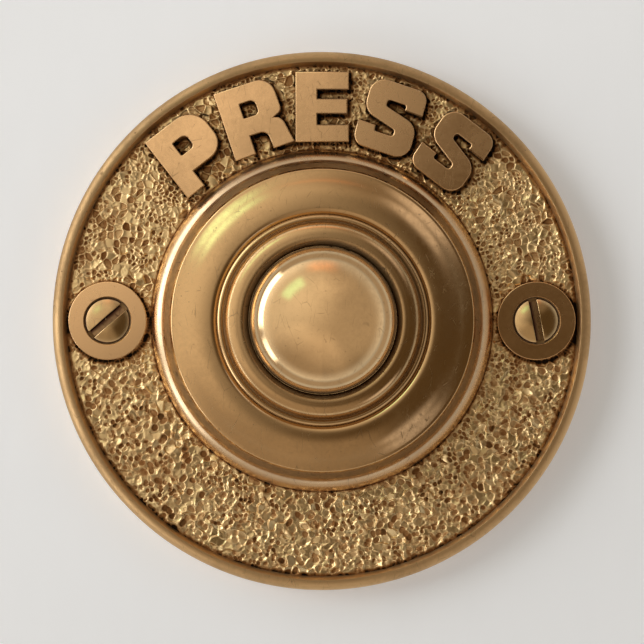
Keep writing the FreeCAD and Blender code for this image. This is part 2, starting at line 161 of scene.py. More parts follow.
# %% Outline helpers
def arc_to(start, end, heading, steps=16):
    """Arc of a circle from start to end that leaves on a heading, in degrees above outwards.
    The heading turns at an even rate, so the place is the radius times the change of its sine
    and cosine."""
    run = np.subtract(end, start)
    lean = np.radians(heading) - np.arctan2(run[1], run[0])
    radius = np.hypot(*run) / (2 * np.sin(lean))
    angle = np.radians(heading) - 2 * lean * np.linspace(0, 1, steps)
    r = start[0] + radius * (np.sin(np.radians(heading)) - np.sin(angle))
    z = start[1] + radius * (np.cos(angle) - np.cos(np.radians(heading)))
    return [(a, b, 0.0) for a, b in zip(r, z)]


def rounded(corners, closed=True, steps=6):
    """Outline through corners (x, y, round). Each round is a true arc that touches both sides: its
    ends are cut back by the radius over the tangent of half the inside angle, and by at most 0.45
    of the shorter side, and its points turn evenly from one end to the other about its centre."""
    corners = np.asarray(corners, float)
    place = corners[:, :2]
    before, after = np.roll(place, 1, axis=0) - place, np.roll(place, -1, axis=0) - place
    reach_before, reach_after = np.hypot(*before.T), np.hypot(*after.T)
    before, after = before / reach_before[:, None], after / reach_after[:, None]
    half = np.arccos(np.clip((before * after).sum(axis=1), -1, 1)) / 2
    cut = np.minimum(corners[:, 2] / np.tan(half), 0.45 * np.minimum(reach_before, reach_after))
    sweep = np.maximum(np.pi - 2 * half, 0.001)[:, None, None]
    sharp = (cut < 1e-6) | (sweep[:, 0, 0] < 0.01)
    if not closed:
        sharp[[0, -1]] = True
    cut[sharp] = 0.0
    middle = place + (before + after) * (cut / (1 + (before * after).sum(axis=1) + 1e-12))[:, None]
    first, last = place + before * cut[:, None] - middle, place + after * cut[:, None] - middle
    t = np.linspace(0, 1, steps)[None, :, None]
    turn = np.sin((1 - t) * sweep) * first[:, None] + np.sin(t * sweep) * last[:, None]
    curve = middle[:, None] + turn / np.sin(sweep)
    curve[sharp] = place[sharp][:, None]
    keep = np.ones((len(corners), steps), bool)
    keep[sharp, 1:] = False
    return curve[keep]


def creases(outline, closed=True, spread=0.3):
    """How much an outline turns near each of its points: over zero on edges, below it in corners.
    It is the right turn in radians at every point, faded by a bell curve of the distance."""
    outline = np.asarray(outline, float)
    ahead = np.roll(outline, -1, axis=0) - outline
    heading = np.arctan2(ahead[:, 1], ahead[:, 0])
    turn = -np.angle(np.exp(1j * (heading - np.roll(heading, 1))))
    if not closed:
        turn[[0, -1]] = 0.0
    distance = np.hypot(*(outline[:, None] - outline[None]).transpose(2, 0, 1))
    return (turn[None] * np.exp(-((distance / spread) ** 2))).sum(axis=1)


# %% [markdown]
# ## Spinning the outline
# The outline runs clockwise, up the inside, out over the front and down the outside, so that its
# left is always the outside of the metal. Where it starts and ends on the axis, a fan of triangles
# closes it. Otherwise the last ring is joined to the first.

# %% Turned surfaces
def turned(outline, steps=256, centre=(0.0, 0.0)):
    """Points (r cos a, r sin a, z) for each outline point and each angle a, with their faces."""
    outline = np.asarray(outline, float)
    on_axis = outline[:, 0] < 1e-6
    ring = outline[~on_axis]
    angle = np.linspace(0, 2 * np.pi, steps, endpoint=False)
    points = np.stack([
        centre[0] + ring[:, :1] * np.cos(angle),
        centre[1] + ring[:, :1] * np.sin(angle),
        np.repeat(ring[:, 1:2], steps, axis=1),
    ], axis=-1).reshape(-1, 3)
    index = np.arange(len(ring) * steps).reshape(len(ring), steps)
    if not on_axis.any():
        index = np.vstack([index, index[:1]])
    faces = [ring_faces(index)]
    crease = np.repeat(creases(ring[:, :2], closed=not on_axis.any()), steps)
    for pole, row, order in ((0, index[0], 1), (-1, index[-1], -1)):
        if on_axis[pole]:
            tip = np.full(steps, len(points))
            points = np.vstack([points, [[centre[0], centre[1], outline[pole, 1]]]])
            crease = np.append(crease, 0.0)
            faces.append(np.stack([tip, row, np.roll(row, -1)][:: order], axis=-1))
    return points, faces, crease


def outline_normals(outline, closed):
    """Left-hand normals of an outline's points: the mean of the two sides, weighted by length, so
    that a flat keeps its own direction right up to where a round begins."""
    ahead = np.roll(outline, -1, axis=0) - outline
    if not closed:
        ahead[-1] = 0.0
    across = np.stack([-ahead[:, 1], ahead[:, 0]], axis=-1)
    total = across + np.roll(across, 1, axis=0)
    return total / np.maximum(np.hypot(*total.T), 1e-9)[:, None]


def turned_mesh(name, outline, steps=256, centre=(0.0, 0.0), painted_shade=()):
    """Mesh of a turned piece, with its exact normals, and its creases stored for the material.
    Each place of painted shade (r, z, reach, strength) lowers the crease by a bell curve round it, so the material
    darkens the film there."""
    points, faces, crease = turned(outline, steps, centre)
    mesh = make_mesh(name, points, faces)
    from_axis = np.hypot(points[:, 0] - centre[0], points[:, 1] - centre[1])
    for r, z, reach, strength in painted_shade:
        crease = crease - strength * np.exp(-((from_axis - r) ** 2 + (points[:, 2] - z) ** 2) / reach**2)
    set_attribute(mesh, "crease", crease)
    outline = np.asarray(outline, float)
    on_axis = outline[:, 0] < 1e-6
    lean = outline_normals(outline, not on_axis.any())[~on_axis]
    angle = np.linspace(0, 2 * np.pi, steps, endpoint=False)
    normals = np.stack([
        lean[:, :1] * np.cos(angle), lean[:, :1] * np.sin(angle), np.repeat(lean[:, 1:], steps, axis=1)
    ], axis=-1).reshape(-1, 3)
    poles = [(0.0, 0.0, sign) for sign, pole in ((1.0, on_axis[0]), (-1.0, on_axis[-1])) if pole]
    normals = np.vstack([normals, poles]) if poles else normals
    mesh.normals_split_custom_set_from_vertices(upright(normals) / MM)
    return mesh


# %% [markdown]
# ## The camera
# The photograph looks straight at the wall, a hair from the left and from below. A long lens at
# 1.2 m keeps the raised button from swelling. The lens is worked out from the width of wall that the
# picture takes in: lens over sensor equals distance over width.

# %% Camera
view_distance = 1.2
view_width = 0.091
view_side, view_rise = np.radians(-0.9), np.radians(-0.8)
aim = Vector((0.0, -0.004, -0.00017))
camera_data = bpy.data.cameras.new("Camera")
camera_data.lens = camera_data.sensor_width * view_distance / view_width
camera_data.clip_start = 0.01
camera = new_object("Camera", camera_data)
towards = Vector((np.sin(view_side), -np.cos(view_side), np.sin(view_rise))).normalized()
camera.location = aim + towards * view_distance
camera.rotation_euler = towards.to_track_quat("Z", "Y").to_euler()
bpy.context.scene.camera = camera
bpy.context.scene.view_settings.view_transform = "Standard"
print("lens in mm:", round(camera_data.lens, 1))


# %% [markdown]
# ## Nodes by short calls
# A material in Blender is a graph of nodes. These helpers add one node at a time and feed each
# input with a number or with another node's output, so a finish reads like a recipe.

# %% Node helpers
def add_node(tree, kind, inputs, output=0, **options):
    """Adds a shader node, sets its options, feeds its inputs and returns one of its outputs."""
    node = tree.nodes.new("ShaderNode" + kind)
    for option, value in options.items():
        setattr(node, option, value)
    for key, value in inputs.items():
        if isinstance(value, bpy.types.NodeSocket):
            tree.links.new(value, node.inputs[key])
        else:
            node.inputs[key].default_value = value
    return node.outputs[output]


def maths(tree, operation, first, second=0.0, third=0.0, clamp=False):
    """One sum of up to three numbers."""
    inputs = {0: first, 1: second, 2: third}
    return add_node(tree, "Math", inputs, operation=operation, use_clamp=clamp)


def ramp(tree, value, low, high, start=0.0, end=1.0):
    """Runs smoothly from start to end while the value goes from low to high."""
    inputs = {"Value": value, "From Min": low, "From Max": high, "To Min": start, "To Max": end}
    return add_node(tree, "MapRange", inputs, interpolation_type="SMOOTHSTEP")


def tint(tree, share, first, second, blend="MIX"):
    """Blends two colours by a share from 0 to 1."""
    inputs = {0: share, 6: first, 7: second}
    return add_node(tree, "Mix", inputs, output=2, data_type="RGBA", blend_type=blend)


def noise(tree, place, scale, detail=3.0, roughness=0.55, distortion=0.0):
    """A cloudy number between 0 and 1, with so many lumps to the metre."""
    inputs = {
        "Vector": place, "Scale": scale, "Detail": detail,
        "Roughness": roughness, "Distortion": distortion,
    }
    return add_node(tree, "TexNoise", inputs)


def stretched(tree, place, scale, turn=0.0, shift=0.0):
    """Object coordinates that are scaled along each axis, turned round y and shifted."""
    inputs = {"Vector": place, "Location": (shift,) * 3, "Rotation": (0, turn, 0), "Scale": scale}
    return add_node(tree, "Mapping", inputs)


def number_of(tree, name):
    """The number that a mesh stores for each point under a name, and 0 where it has none."""
    return add_node(tree, "Attribute", {}, output=2, attribute_name=name)


def new_material(name, metallic, roughness=0.5):
    """A material with its tree, its main shader and the object coordinates."""
    material = bpy.data.materials.new(name)
    material.use_nodes = True
    tree = material.node_tree
    shader = tree.nodes["Principled BSDF"]
    shader.inputs["Metallic"].default_value = metallic
    shader.inputs["Roughness"].default_value = roughness
    return material, tree, shader, add_node(tree, "TexCoord", {}, output=3)


# %% [markdown]
# ## The wall
# A plain pale wall stands just behind the plate and takes its shadow. Only the camera sees it, and
# only from the front: every other ray passes through. So the metal and the view from behind get the
# pale surroundings of the world instead, and the plate's back isn't black. It has the faint upright
# streaks of a painted wall, and painted light: a faint emission of its own that falls off from the
# upper left to the lower right, standing in for the fall of light across the wall.

# %% Wall
wall_half_width = 600.0
wall_back = 0.2
cool_paint, pale_paint = (0.785, 0.795, 0.80, 1), (0.825, 0.835, 0.84, 1)
# Painted light: the wall's own emission, stronger at the upper left than at the lower right.
left_painted_light, right_painted_light, painted_light_half_width = 0.36, 0.25, 0.09
wall_corners = [(-1, -1), (1, -1), (1, 1), (-1, 1)]
wall_sheet = [(x * wall_half_width, y * wall_half_width, -wall_back) for x, y in wall_corners]
wall_mesh = make_mesh("wall", wall_sheet, [np.array([[0, 1, 2, 3]])])
wall = new_object("wall", wall_mesh)

wall_paint, tree, shader, place = new_material("wall_paint", 0.0, 0.9)
shader.inputs["Specular IOR Level"].default_value = 0.1
streaks = noise(tree, stretched(tree, place, (1.0, 1.0, 0.12)), 900.0, detail=2.0)
paint = tint(tree, streaks, cool_paint, pale_paint)
spread = tree.nodes.new("ShaderNodeSeparateXYZ")
tree.links.new(place, spread.inputs[0])
across = maths(tree, "SUBTRACT", spread.outputs[0], spread.outputs[2])
# Painted light: the emission falls from the upper left to the lower right.
painted_light_falloff = ramp(tree, across, -painted_light_half_width, painted_light_half_width, left_painted_light, right_painted_light)
tree.links.new(paint, shader.inputs["Base Color"])
tree.links.new(paint, shader.inputs["Emission Color"])
tree.links.new(painted_light_falloff, shader.inputs["Emission Strength"])
from_camera = add_node(tree, "LightPath", {})
from_front = maths(tree, "SUBTRACT", 1.0, add_node(tree, "NewGeometry", {}, output=6))
seen = maths(tree, "MULTIPLY", from_camera, from_front)
clear = add_node(tree, "BsdfTransparent", {})
mixed = add_node(tree, "MixShader", {0: seen, 1: clear, 2: shader.outputs[0]})
tree.links.new(mixed, tree.nodes["Material Output"].inputs["Surface"])
wall_mesh.materials.append(wall_paint)
print("wall stands", wall_back, "mm behind the plate")

# %% [markdown]
# ## The room that the brass mirrors
# Polished metal has no colour until it has something to reflect. The room is drawn in the world's
# nodes from two angles of each direction: how far it lies off the line to the viewer, and where it
# lies round the clock. Its front is a dim warm room that grows pale towards the wall, with a window
# and a glow to the left and a dark side to the right. Behind the wall's plane it is as pale as the
# wall. The camera itself sees plain pale grey.

# %% World
world = bpy.data.worlds.new("Room")
bpy.context.scene.world = world
world.use_nodes = True
tree = world.node_tree
split = tree.nodes.new("ShaderNodeSeparateXYZ")
tree.links.new(add_node(tree, "TexCoord", {}), split.inputs[0])
to_degrees = 180 / np.pi
towards_viewer = maths(tree, "MULTIPLY", split.outputs[1], -1.0)
off_axis = maths(tree, "MULTIPLY", maths(tree, "ARCCOSINE", towards_viewer), to_degrees)
round_clock = maths(tree, "ARCTAN2", split.outputs[0], split.outputs[2])
clock = maths(tree, "MULTIPLY", round_clock, to_degrees)


def patch(off_range, clock_range, off_soft, clock_soft):
    """A number that is 1 inside a span of both angles and fades to 0 over its soft edges."""
    share = 1.0
    for angle, span, soft in ((off_axis, off_range, off_soft), (clock, clock_range, clock_soft)):
        rise = ramp(tree, angle, span[0] - soft, span[0] + soft)
        fall = ramp(tree, angle, span[1] - soft, span[1] + soft, 1.0, 0.0)
        share = maths(tree, "MULTIPLY", share, maths(tree, "MULTIPLY", rise, fall))
    return share


def scaled(colour, strength):
    """A colour made stronger or weaker, with the fourth number that Blender wants."""
    return tuple(strength * c for c in colour) + (1.0,)


shade, ceiling, daylight = (1.0, 0.66, 0.32), (1.0, 0.84, 0.68), (1.0, 1.0, 1.0)
room = tint(tree, ramp(tree, off_axis, 45, 54), scaled(shade, 0.085), scaled(daylight, 0.48))
room = tint(tree, ramp(tree, off_axis, 60, 72), room, scaled(ceiling, 0.42))
lights = [
    # floor, left wall, window side and ceiling of the dim room
    (patch((12, 60), (150, 190), 8, 14), scaled(ceiling, 0.22)),
    (patch((12, 60), (-190, -128), 8, 14), scaled(ceiling, 0.28)),
    (patch((14, 60), (-128, -98), 8, 14), scaled(ceiling, 0.22)),
    (patch((24, 60), (-8, 40), 8, 12), scaled(ceiling, 0.14)),
    # a warm lampshade above
    (patch((44, 52), (-14, 14), 3, 8), scaled((1.0, 0.36, 0.12), 0.5)),
    # daylight through leaves, and the two panes of the window
    (patch((33.5, 42), (-58, -26), 2.5, 5), (0.18, 0.66, 0.34, 1.0)),
    (patch((55, 82), (-96, -42), 2.0, 3), scaled((0.95, 0.97, 1.0), 3.0)),
    (patch((55, 78), (-130, -108), 2.0, 3), scaled((0.95, 0.97, 1.0), 2.6)),
]
for share, colour in lights:
    room = tint(tree, share, room, tint(tree, 1.0, room, colour, "ADD"))
room = tint(tree, ramp(tree, off_axis, 88, 100), room, scaled(daylight, 0.56))
room = tint(tree, add_node(tree, "LightPath", {}), room, scaled((1.0, 0.995, 0.985), 0.80))
tree.links.new(room, tree.nodes["Background"].inputs["Color"])
print("lights drawn in the world:", len(lights))

# %% [markdown]
# ## A soft panel
# A studio lamp for metal is a large soft box, because metal mirrors it. This one is a square panel
# that fades from its middle outwards, so that no hard outline shows in the brass.

# %% Soft panel helper
def soft_panel(name, place, size, radiance, colour, full=0.16):
    """A square panel that faces the wall and fades from its middle to its edges. Its power is its
    radiance times pi times its area, and it is full out to this share of its width."""
    data = bpy.data.lights.new(name, "AREA")
    data.shape = "SQUARE"
    data.size = size
    data.energy = radiance * np.pi * size**2
    data.color = colour
    data.use_nodes = True
    tree = data.node_tree
    across = tree.nodes.new("ShaderNodeSeparateXYZ")
    tree.links.new(add_node(tree, "NewGeometry", {}, output=5), across.inputs[0])
    offsets = [maths(tree, "SUBTRACT", across.outputs[axis], 0.5) for axis in (0, 1)]
    squares = [maths(tree, "MULTIPLY", offset, offset) for offset in offsets]
    from_middle = maths(tree, "SQRT", maths(tree, "ADD", *squares))
    fade = ramp(tree, from_middle, full, 0.48, 1.0, 0.0)
    tree.links.new(fade, tree.nodes["Emission"].inputs["Strength"])
    lamp = new_object(name, data)
    lamp.location = place
    lamp.rotation_euler = (np.pi / 2, 0, 0)
    lamp.visible_camera = False
    return lamp


def lights_only(lamp, pieces, state="INCLUDE"):
    """Lets a lamp reach only these pieces, or all but these when the state is EXCLUDE."""
    group = bpy.data.collections.new(f"{state} for {lamp.name}")
    for piece in pieces:
        group.objects.link(piece)
    for member in group.collection_objects:
        member.light_linking.link_state = state
    lamp.light_linking.receiver_collection = group


# %% [markdown]
# ## The near lamps
# The left boss in the photograph is much brighter than the right one, although both are flat. Only a
# light that is near can do that: the left of the plate mirrors it and the right looks past its edge.
# One soft panel stands above and to the left of the push. It leaves out the wall, the rim and the
# flat faces. The flat faces and the ground have a smaller panel, further up, so that the letters
# darken from left to right.

# %% Near lamps
near_lamp = soft_panel("near_lamp", (-0.098, -0.11, 0.062), 0.30, 0.68, (1.0, 0.92, 0.80))
face_lamp = soft_panel("face_lamp", (-0.080, -0.11, 0.080), 0.25, 1.0, (1.0, 0.91, 0.80), full=0.27)

# %% [markdown]
# ## Gleams and the wall's own sun
# The raised centre shows three broad gleams that the dome of the button doesn't. Each is a panel
# further off, placed by the same two angles as the lights of the room, and it will reach the collar
# and the raised centre alone. A weak sun, only for the wall, throws the soft shadow to the lower right.

# %% Gleams and sun
gleam_distance = 0.6
gleams = []
for name, off, round_the_clock, size, radiance, colour in (
    ("upper_gleam", 38, 46, 0.30, 0.62, (1.0, 0.94, 0.95)),
    ("lower_gleam", 39, 138, 0.26, 0.58, (1.0, 0.96, 1.0)),
    ("leaf_gleam", 39, -46, 0.26, 0.60, (0.72, 1.0, 0.80)),
):
    off, round_the_clock = np.radians(off), np.radians(round_the_clock)
    sideways, upwards = np.sin(round_the_clock), np.cos(round_the_clock)
    place = Vector((np.sin(off) * sideways, -np.cos(off), np.sin(off) * upwards))
    gleams.append(soft_panel(name, place * gleam_distance, size, radiance, colour))

wall_sun_data = bpy.data.lights.new("wall_sun", "SUN")
wall_sun_data.energy = 0.6
wall_sun_data.angle = np.radians(24)
wall_sun = new_object("wall_sun", wall_sun_data)
wall_sun.rotation_euler = Vector((-0.78, -0.6, 0.2)).to_track_quat("Z", "Y").to_euler()
print("lamps:", near_lamp.name, face_lamp.name, [lamp.name for lamp in gleams], wall_sun.name)

# %% [markdown]
# ## Brass
# Aged brass is a golden metal with a brown film that lies thicker in corners and thinner on edges;
# the extra film in corners is partly painted shade. Its shine is broken by fine hairlines, by specks
# and by the slow cloudiness of handling. Each of these is a layer of the recipe below, and where they
# add up to more than a full film, the brass is almost black: dirt, and painted shade in the gaps,
# grooves and corners where the pieces store it. The crease number stored on the pieces says where
# edges and corners are and carries that painted shade, the depth number of the ground says how deep a
# pit is and carries painted shadow and shade, and a third number is 1 on the bead round the raised
# centre, where a paler colour is a painted highlight.

# %% Scratches
def hairlines(tree, place, turn, shift):
    """Fine scratches: the walls between stretched Voronoi cells, broken by the gaps of a cloud."""
    cells = stretched(tree, place, (1.0, 1.0, 0.35), turn, shift)
    away = add_node(tree, "TexVoronoi", {"Vector": cells, "Scale": 400.0}, feature="DISTANCE_TO_EDGE")
    line = ramp(tree, away, 0.0, 0.014, 1.0, 0.0)
    cloud = noise(tree, stretched(tree, place, (1.0, 1.0, 1.0), turn, shift + 3.0), 420.0, 2.0)
    return maths(tree, "MULTIPLY", line, ramp(tree, cloud, 0.56, 0.66))


def all_hairlines(tree, place):
    """Scratches in four directions, each a turn round the axis and a shift of the pattern."""
    lines = 0.0
    for turn, shift in ((0.6, 0.3), (-0.9, 1.7), (1.5, 2.9), (-0.1, 4.1)):
        lines = maths(tree, "MAXIMUM", lines, hairlines(tree, place, turn, shift))
    return lines


# %% Brass recipe
edge_and_shade_film, pit_film_and_shade = 0.22, 0.85
# The near-black is dirt and painted shade; the pale colour is a painted highlight on the bead.
dirt_and_shade_black, painted_highlight_pale = (0.03, 0.018, 0.01, 1), (1.0, 0.90, 0.76, 1)


def brass(name, bright, film, sheen, cloud_share=0.35, line_share=0.35, grain=0.0, pitted=False):
    """Brass with a film. Bright and film are its two colours, and sheen is its roughness."""
    material, tree, shader, place = new_material(name, 1.0)
    clouds = ramp(tree, noise(tree, place, 75.0, 4.0), 0.35, 0.68)
    mottle = noise(tree, place, 1500.0, 3.0, 0.7)
    covered = maths(tree, "MULTIPLY", clouds, cloud_share)
    mottled = maths(tree, "MULTIPLY", maths(tree, "SUBTRACT", mottle, 0.5), 0.35)
    covered = maths(tree, "ADD", covered, mottled)
    if pitted:
        pits_and_shade = maths(tree, "MULTIPLY", number_of(tree, "depth"), pit_film_and_shade)
        covered = maths(tree, "ADD", maths(tree, "MULTIPLY", covered, 0.5), pits_and_shade)
    else:
        edges_and_painted_shade = maths(tree, "MULTIPLY", number_of(tree, "crease"), edge_and_shade_film)
        covered = maths(tree, "SUBTRACT", covered, edges_and_painted_shade)
    lines = all_hairlines(tree, place)
    specks = ramp(tree, add_node(tree, "TexVoronoi", {"Vector": place, "Scale": 620.0}), 0.10, 0.04)
    scratches = maths(tree, "MULTIPLY", lines, line_share)
    marks = maths(tree, "MAXIMUM", scratches, maths(tree, "MULTIPLY", specks, 0.35))
    # Past a full film the brass turns almost black: dirt, and painted shade in gaps and corners.
    dirt_and_shade = ramp(tree, covered, 1.0, 1.6)
    covered = maths(tree, "ADD", covered, marks, clamp=True)
    bead_highlight = number_of(tree, "bead_highlight")
    metal = tint(tree, covered, bright + (1,), film + (1,))
    # Painted highlight: the bead is tinted paler where it gleams white.
    metal = tint(tree, maths(tree, "MULTIPLY", bead_highlight, 0.2), metal, painted_highlight_pale)
    tree.links.new(tint(tree, dirt_and_shade, metal, dirt_and_shade_black), shader.inputs["Base Color"])
    rough = maths(tree, "MULTIPLY_ADD", mottle, 0.12, sheen - 0.06)
    for layer, share in ((clouds, 0.06), (covered, 0.22), (bead_highlight, 0.12)):
        rough = maths(tree, "MULTIPLY_ADD", layer, share, rough)
    rough = maths(tree, "ADD", rough, ramp(tree, covered, 0.38, 0.75, 0.0, 0.35))
    tree.links.new(rough, shader.inputs["Roughness"])
    grains = maths(tree, "MULTIPLY", noise(tree, place, 2600.0, 2.0), grain)
    bumps = maths(tree, "SUBTRACT", grains, maths(tree, "MULTIPLY", lines, 0.3))
    inputs = {"Height": bumps, "Strength": 0.25, "Distance": 0.00002}
    tree.links.new(add_node(tree, "Bump", inputs), shader.inputs["Normal"])
    return material


# %% Brass finishes
gold, brown, russet, umber = (0.84, 0.555, 0.275), (0.20, 0.125, 0.06), (0.22, 0.10, 0.065), (0.40, 0.20, 0.07)
turned_brass = brass("turned_brass", gold, brown, 0.13, cloud_share=0.22, line_share=0.5)
button_brass = brass("button_brass", (0.86, 0.60, 0.32), brown, 0.08, cloud_share=0.18)
face_brass = brass("face_brass", (0.85, 0.55, 0.28), brown, 0.21, cloud_share=0.2, grain=0.5)
rim_brass = brass("rim_brass", (0.80, 0.53, 0.26), brown, 0.48, cloud_share=0.4, grain=0.3)
ground_brass = brass("ground_brass", (1.0, 0.76, 0.40), umber, 0.25, grain=0.6, pitted=True)
screw_brass = brass("screw_brass", (0.84, 0.58, 0.28), russet, 0.13, cloud_share=0.25, line_share=0.3)
brasses = [turned_brass, button_brass, face_brass, rim_brass, ground_brass, screw_brass]
print("brass finishes:", [finish.name for finish in brasses])

# %% [markdown]
# ## The raised centre
# The middle of the casting rises in a soft double curve, called an ogee, from its lip to a crown
# round the collar. Under the lip it drops steeply to a rounded bead that meets the ground. The
# facets of the frame would show in such a mirror, so a fine skin of 256 steps lies over the frame's
# casting. Its hidden side runs back inside the metal, which closes it. Painted shade darkens the
# drop under the lip and the corner at the bead's foot. It is stored at points only, so the long
# straight drop gets points of its own to hold it.

# %% Raised centre
recess_r = collar_r + 0.05
recess_edge_z = crown_z - 0.3
crown_r = recess_r + 0.95
lip_r = 21.3
lip_bevel, lip_proud = 0.18, 0.01
foot_bead_r, foot_bead_z = 22.6, 5.5
ogee_fall, lip_slope = 21.0, 14.0
steep_r = crown_r + (lip_r - lip_bevel - crown_r) * 0.72
steep_z = crown_z - (steep_r - crown_r) * np.tan(np.radians(ogee_fall / 2))
lip_z = steep_z - (lip_r - lip_bevel - steep_r) * np.tan(np.radians((ogee_fall + lip_slope) / 2))
bead_top = (foot_bead_r + proud, foot_bead_z + proud)
bead_foot = (ground_inner_r + proud, ground_z - 0.2)
bead_lean = np.degrees(np.arctan2(foot_bead_z - ground_z, ground_inner_r - foot_bead_r))
recess_drop = 0.3
crown_lean = np.degrees(np.arctan2(recess_drop, crown_r - recess_r))
inner_edge = (recess_r + 0.02, recess_edge_z + proud)
crown = (crown_r, crown_z + proud)
steep = (steep_r, steep_z + proud)
lip = (lip_r - lip_bevel, lip_z + proud)
lip_edge = (lip_r + lip_proud, lip_z + proud - lip_proud)
drop_line = np.linspace(lip_edge, bead_top, 12)[2:-2]
drop_points = [(r, z, 0.0) for r, z in drop_line]

# %% Raised centre outline
centre_outline = rounded(
    [(15.8, 8.7, 0), (inner_edge[0], 9.3, 0), (*inner_edge, 0.06)]
    + arc_to(inner_edge, crown, 2 * crown_lean, 8)[2:]
    + arc_to(crown, steep, 0, 24)[1:]
    + arc_to(steep, lip, -ogee_fall, 12)[1:-1]
    + [(*lip_edge, 0.2), *drop_points, (*bead_top, 0.35)]
    + arc_to(bead_top, bead_foot, 90 - 2 * bead_lean, 20)[2:]
    + [(23.4, 2.2, 0), (20.9, 2.2, 0), (20.9, 8.5, 0)]
)
# Painted shade: the drop under the lip and the corner at the bead's foot are darkened.
centre_painted_shade = [(r, z, 0.5, 2.0) for r, z in drop_line[::2]] + [(*bead_foot, 0.6, 5.0)]
centre_mesh = turned_mesh("raised_centre", centre_outline, painted_shade=centre_painted_shade)
centre_reach = np.hypot(points_of(centre_mesh)[:, 0], points_of(centre_mesh)[:, 2]) / MM
# Painted highlight: the bead round the raised centre is marked for a paler colour.
highlight_from, highlight_over = bead_top[0] - 0.35, 0.3
set_attribute(centre_mesh, "bead_highlight", np.clip((centre_reach - highlight_from) / highlight_over, 0, 1))
raised_centre = add_piece("raised_centre", centre_mesh, turned_brass, "root")

# %% [markdown]
# ## The rim
# A narrow round moulding frames the plate. Its inner side drops steeply to the ground and its outer
# side stands on the wall. It is made as the raised centre is.

# %% Rim
rim_height, shoulder, crest_width = 4.5, 1.2, 0.2
crest_r = plate_r - shoulder
round_z = rim_height - shoulder
skin_r = shoulder + proud
shoulder_angle = np.linspace(np.pi / 2 + np.arcsin(crest_width / shoulder), 0, 24)
shoulder_arc = [(crest_r + skin_r * np.cos(a), round_z + skin_r * np.sin(a), 0.0) for a in shoulder_angle]
foot_r = rim_foot_r - proud
rim_outline = rounded(
    [(rim_foot_r + 0.6, 2.2, 0), (foot_r, ground_z - 0.2, 0), (foot_r, ground_z + 0.05, 0.1)]
    + shoulder_arc
    + [(plate_r + proud, 0.02, 0.05), (plate_r - 0.6, 0.3, 0)]
)
# Painted shade: a black line in the corner at the rim's foot.
rim_mesh = turned_mesh("rim_band", rim_outline, 360, painted_shade=[(rim_foot_r + 0.15, 3.75, 0.45, 9.0)])
rim_band = add_piece("rim_band", rim_mesh, rim_brass, "root")


# %% [markdown]
# ## The hammered ground
# Between the raised centre and the rim, the casting is covered with small hollows that share thin
# ridges, like the cells of a sponge. Such cells are the regions round scattered points, each nearest
# to its own point. Every cell is a small bowl or lump with its own level and lean, so that each one
# mirrors another part of the room, and a ridge runs where the two nearest points are equally far.
# It is real relief, in four sectors so that no mesh grows too heavy, and a number called depth is
# kept for the film of the pits. Depth also carries painted shadow to the lower right of the letters
# and bosses, and painted shade at the ground's two edges and on its steep slopes.

# %% Cells
melt, ridge_width = 0.06, 0.16


def hashed(i, j, salt):
    """A number from 0 to 1 for each cell of a square grid: the broken part of a large sine."""
    return np.mod(np.sin(i * 127.1 + j * 311.7 + salt * 74.7) * 43758.5453, 1.0)


def waves(x, y, salt):
    """A slow cloud between -1 and 1: the mean of sines that run in different directions."""
    total = np.zeros_like(x)
    for step in range(5):
        turn = salt * 1.7 + step * 2.4
        total += np.sin((x * np.cos(turn) + y * np.sin(turn)) * (0.45 + 0.27 * step) + salt * step)
    return total / 5


def cells(x, y, size, salt, low):
    """Height in mm, pit and tone of one layer of cells, for arrays of places. Each cell has its own level,
    bowl and lean: h = level + bowl * d * d + lean along one direction. Neighbours melt into each
    other by weights that fall off with the distance to each scattered point. Inside a broad ridge,
    most cells drop into a pit. Where low is 1, the pits are round and the cells are flat and lean."""
    gx, gy = x / size + salt, y / size - salt
    step = np.array([(a, b) for a in (-1, 0, 1) for b in (-1, 0, 1)], float)[:, :, None, None]
    ci, cj = np.floor(gx) + step[:, 0], np.floor(gy) + step[:, 1]
    dx = gx - ci - 0.08 - 0.84 * hashed(ci, cj, 1)
    dy = gy - cj - 0.08 - 0.84 * hashed(ci, cj, 2)
    away = np.hypot(dx, dy)
    nearest = np.sort(away, axis=0)[:2]
    weight = np.exp((nearest[0] - away) * size / melt)
    weight /= weight.sum(axis=0)
    turn = 2 * np.pi * hashed(ci, cj, 4)
    lean = (0.30 + 0.26 * low) * hashed(ci, cj, 5) * (dx * np.cos(turn) + dy * np.sin(turn))
    bowl = (0.6 * hashed(ci, cj, 6) - 0.2) * (1 - 0.8 * low) * away**2
    height = ((0.12 * hashed(ci, cj, 3) + (lean + bowl) * size) * weight).sum(axis=0)
    own_depth = np.clip(1.7 * (hashed(ci, cj, 7) * weight).sum(axis=0) - 0.25, 0, 1)
    inside = np.clip(((nearest[1] - nearest[0]) * size - ridge_width) / ridge_width, 0, 1)
    disc = np.clip((0.50 - nearest[0]) / 0.14, 0, 1)
    inside = inside * (1 - low) + disc * low
    tone = np.clip(2.4 * (hashed(ci, cj, 8) * weight).sum(axis=0) - 1.3, 0, 1)
    return height, own_depth * inside**2 * (3 - 2 * inside), tone


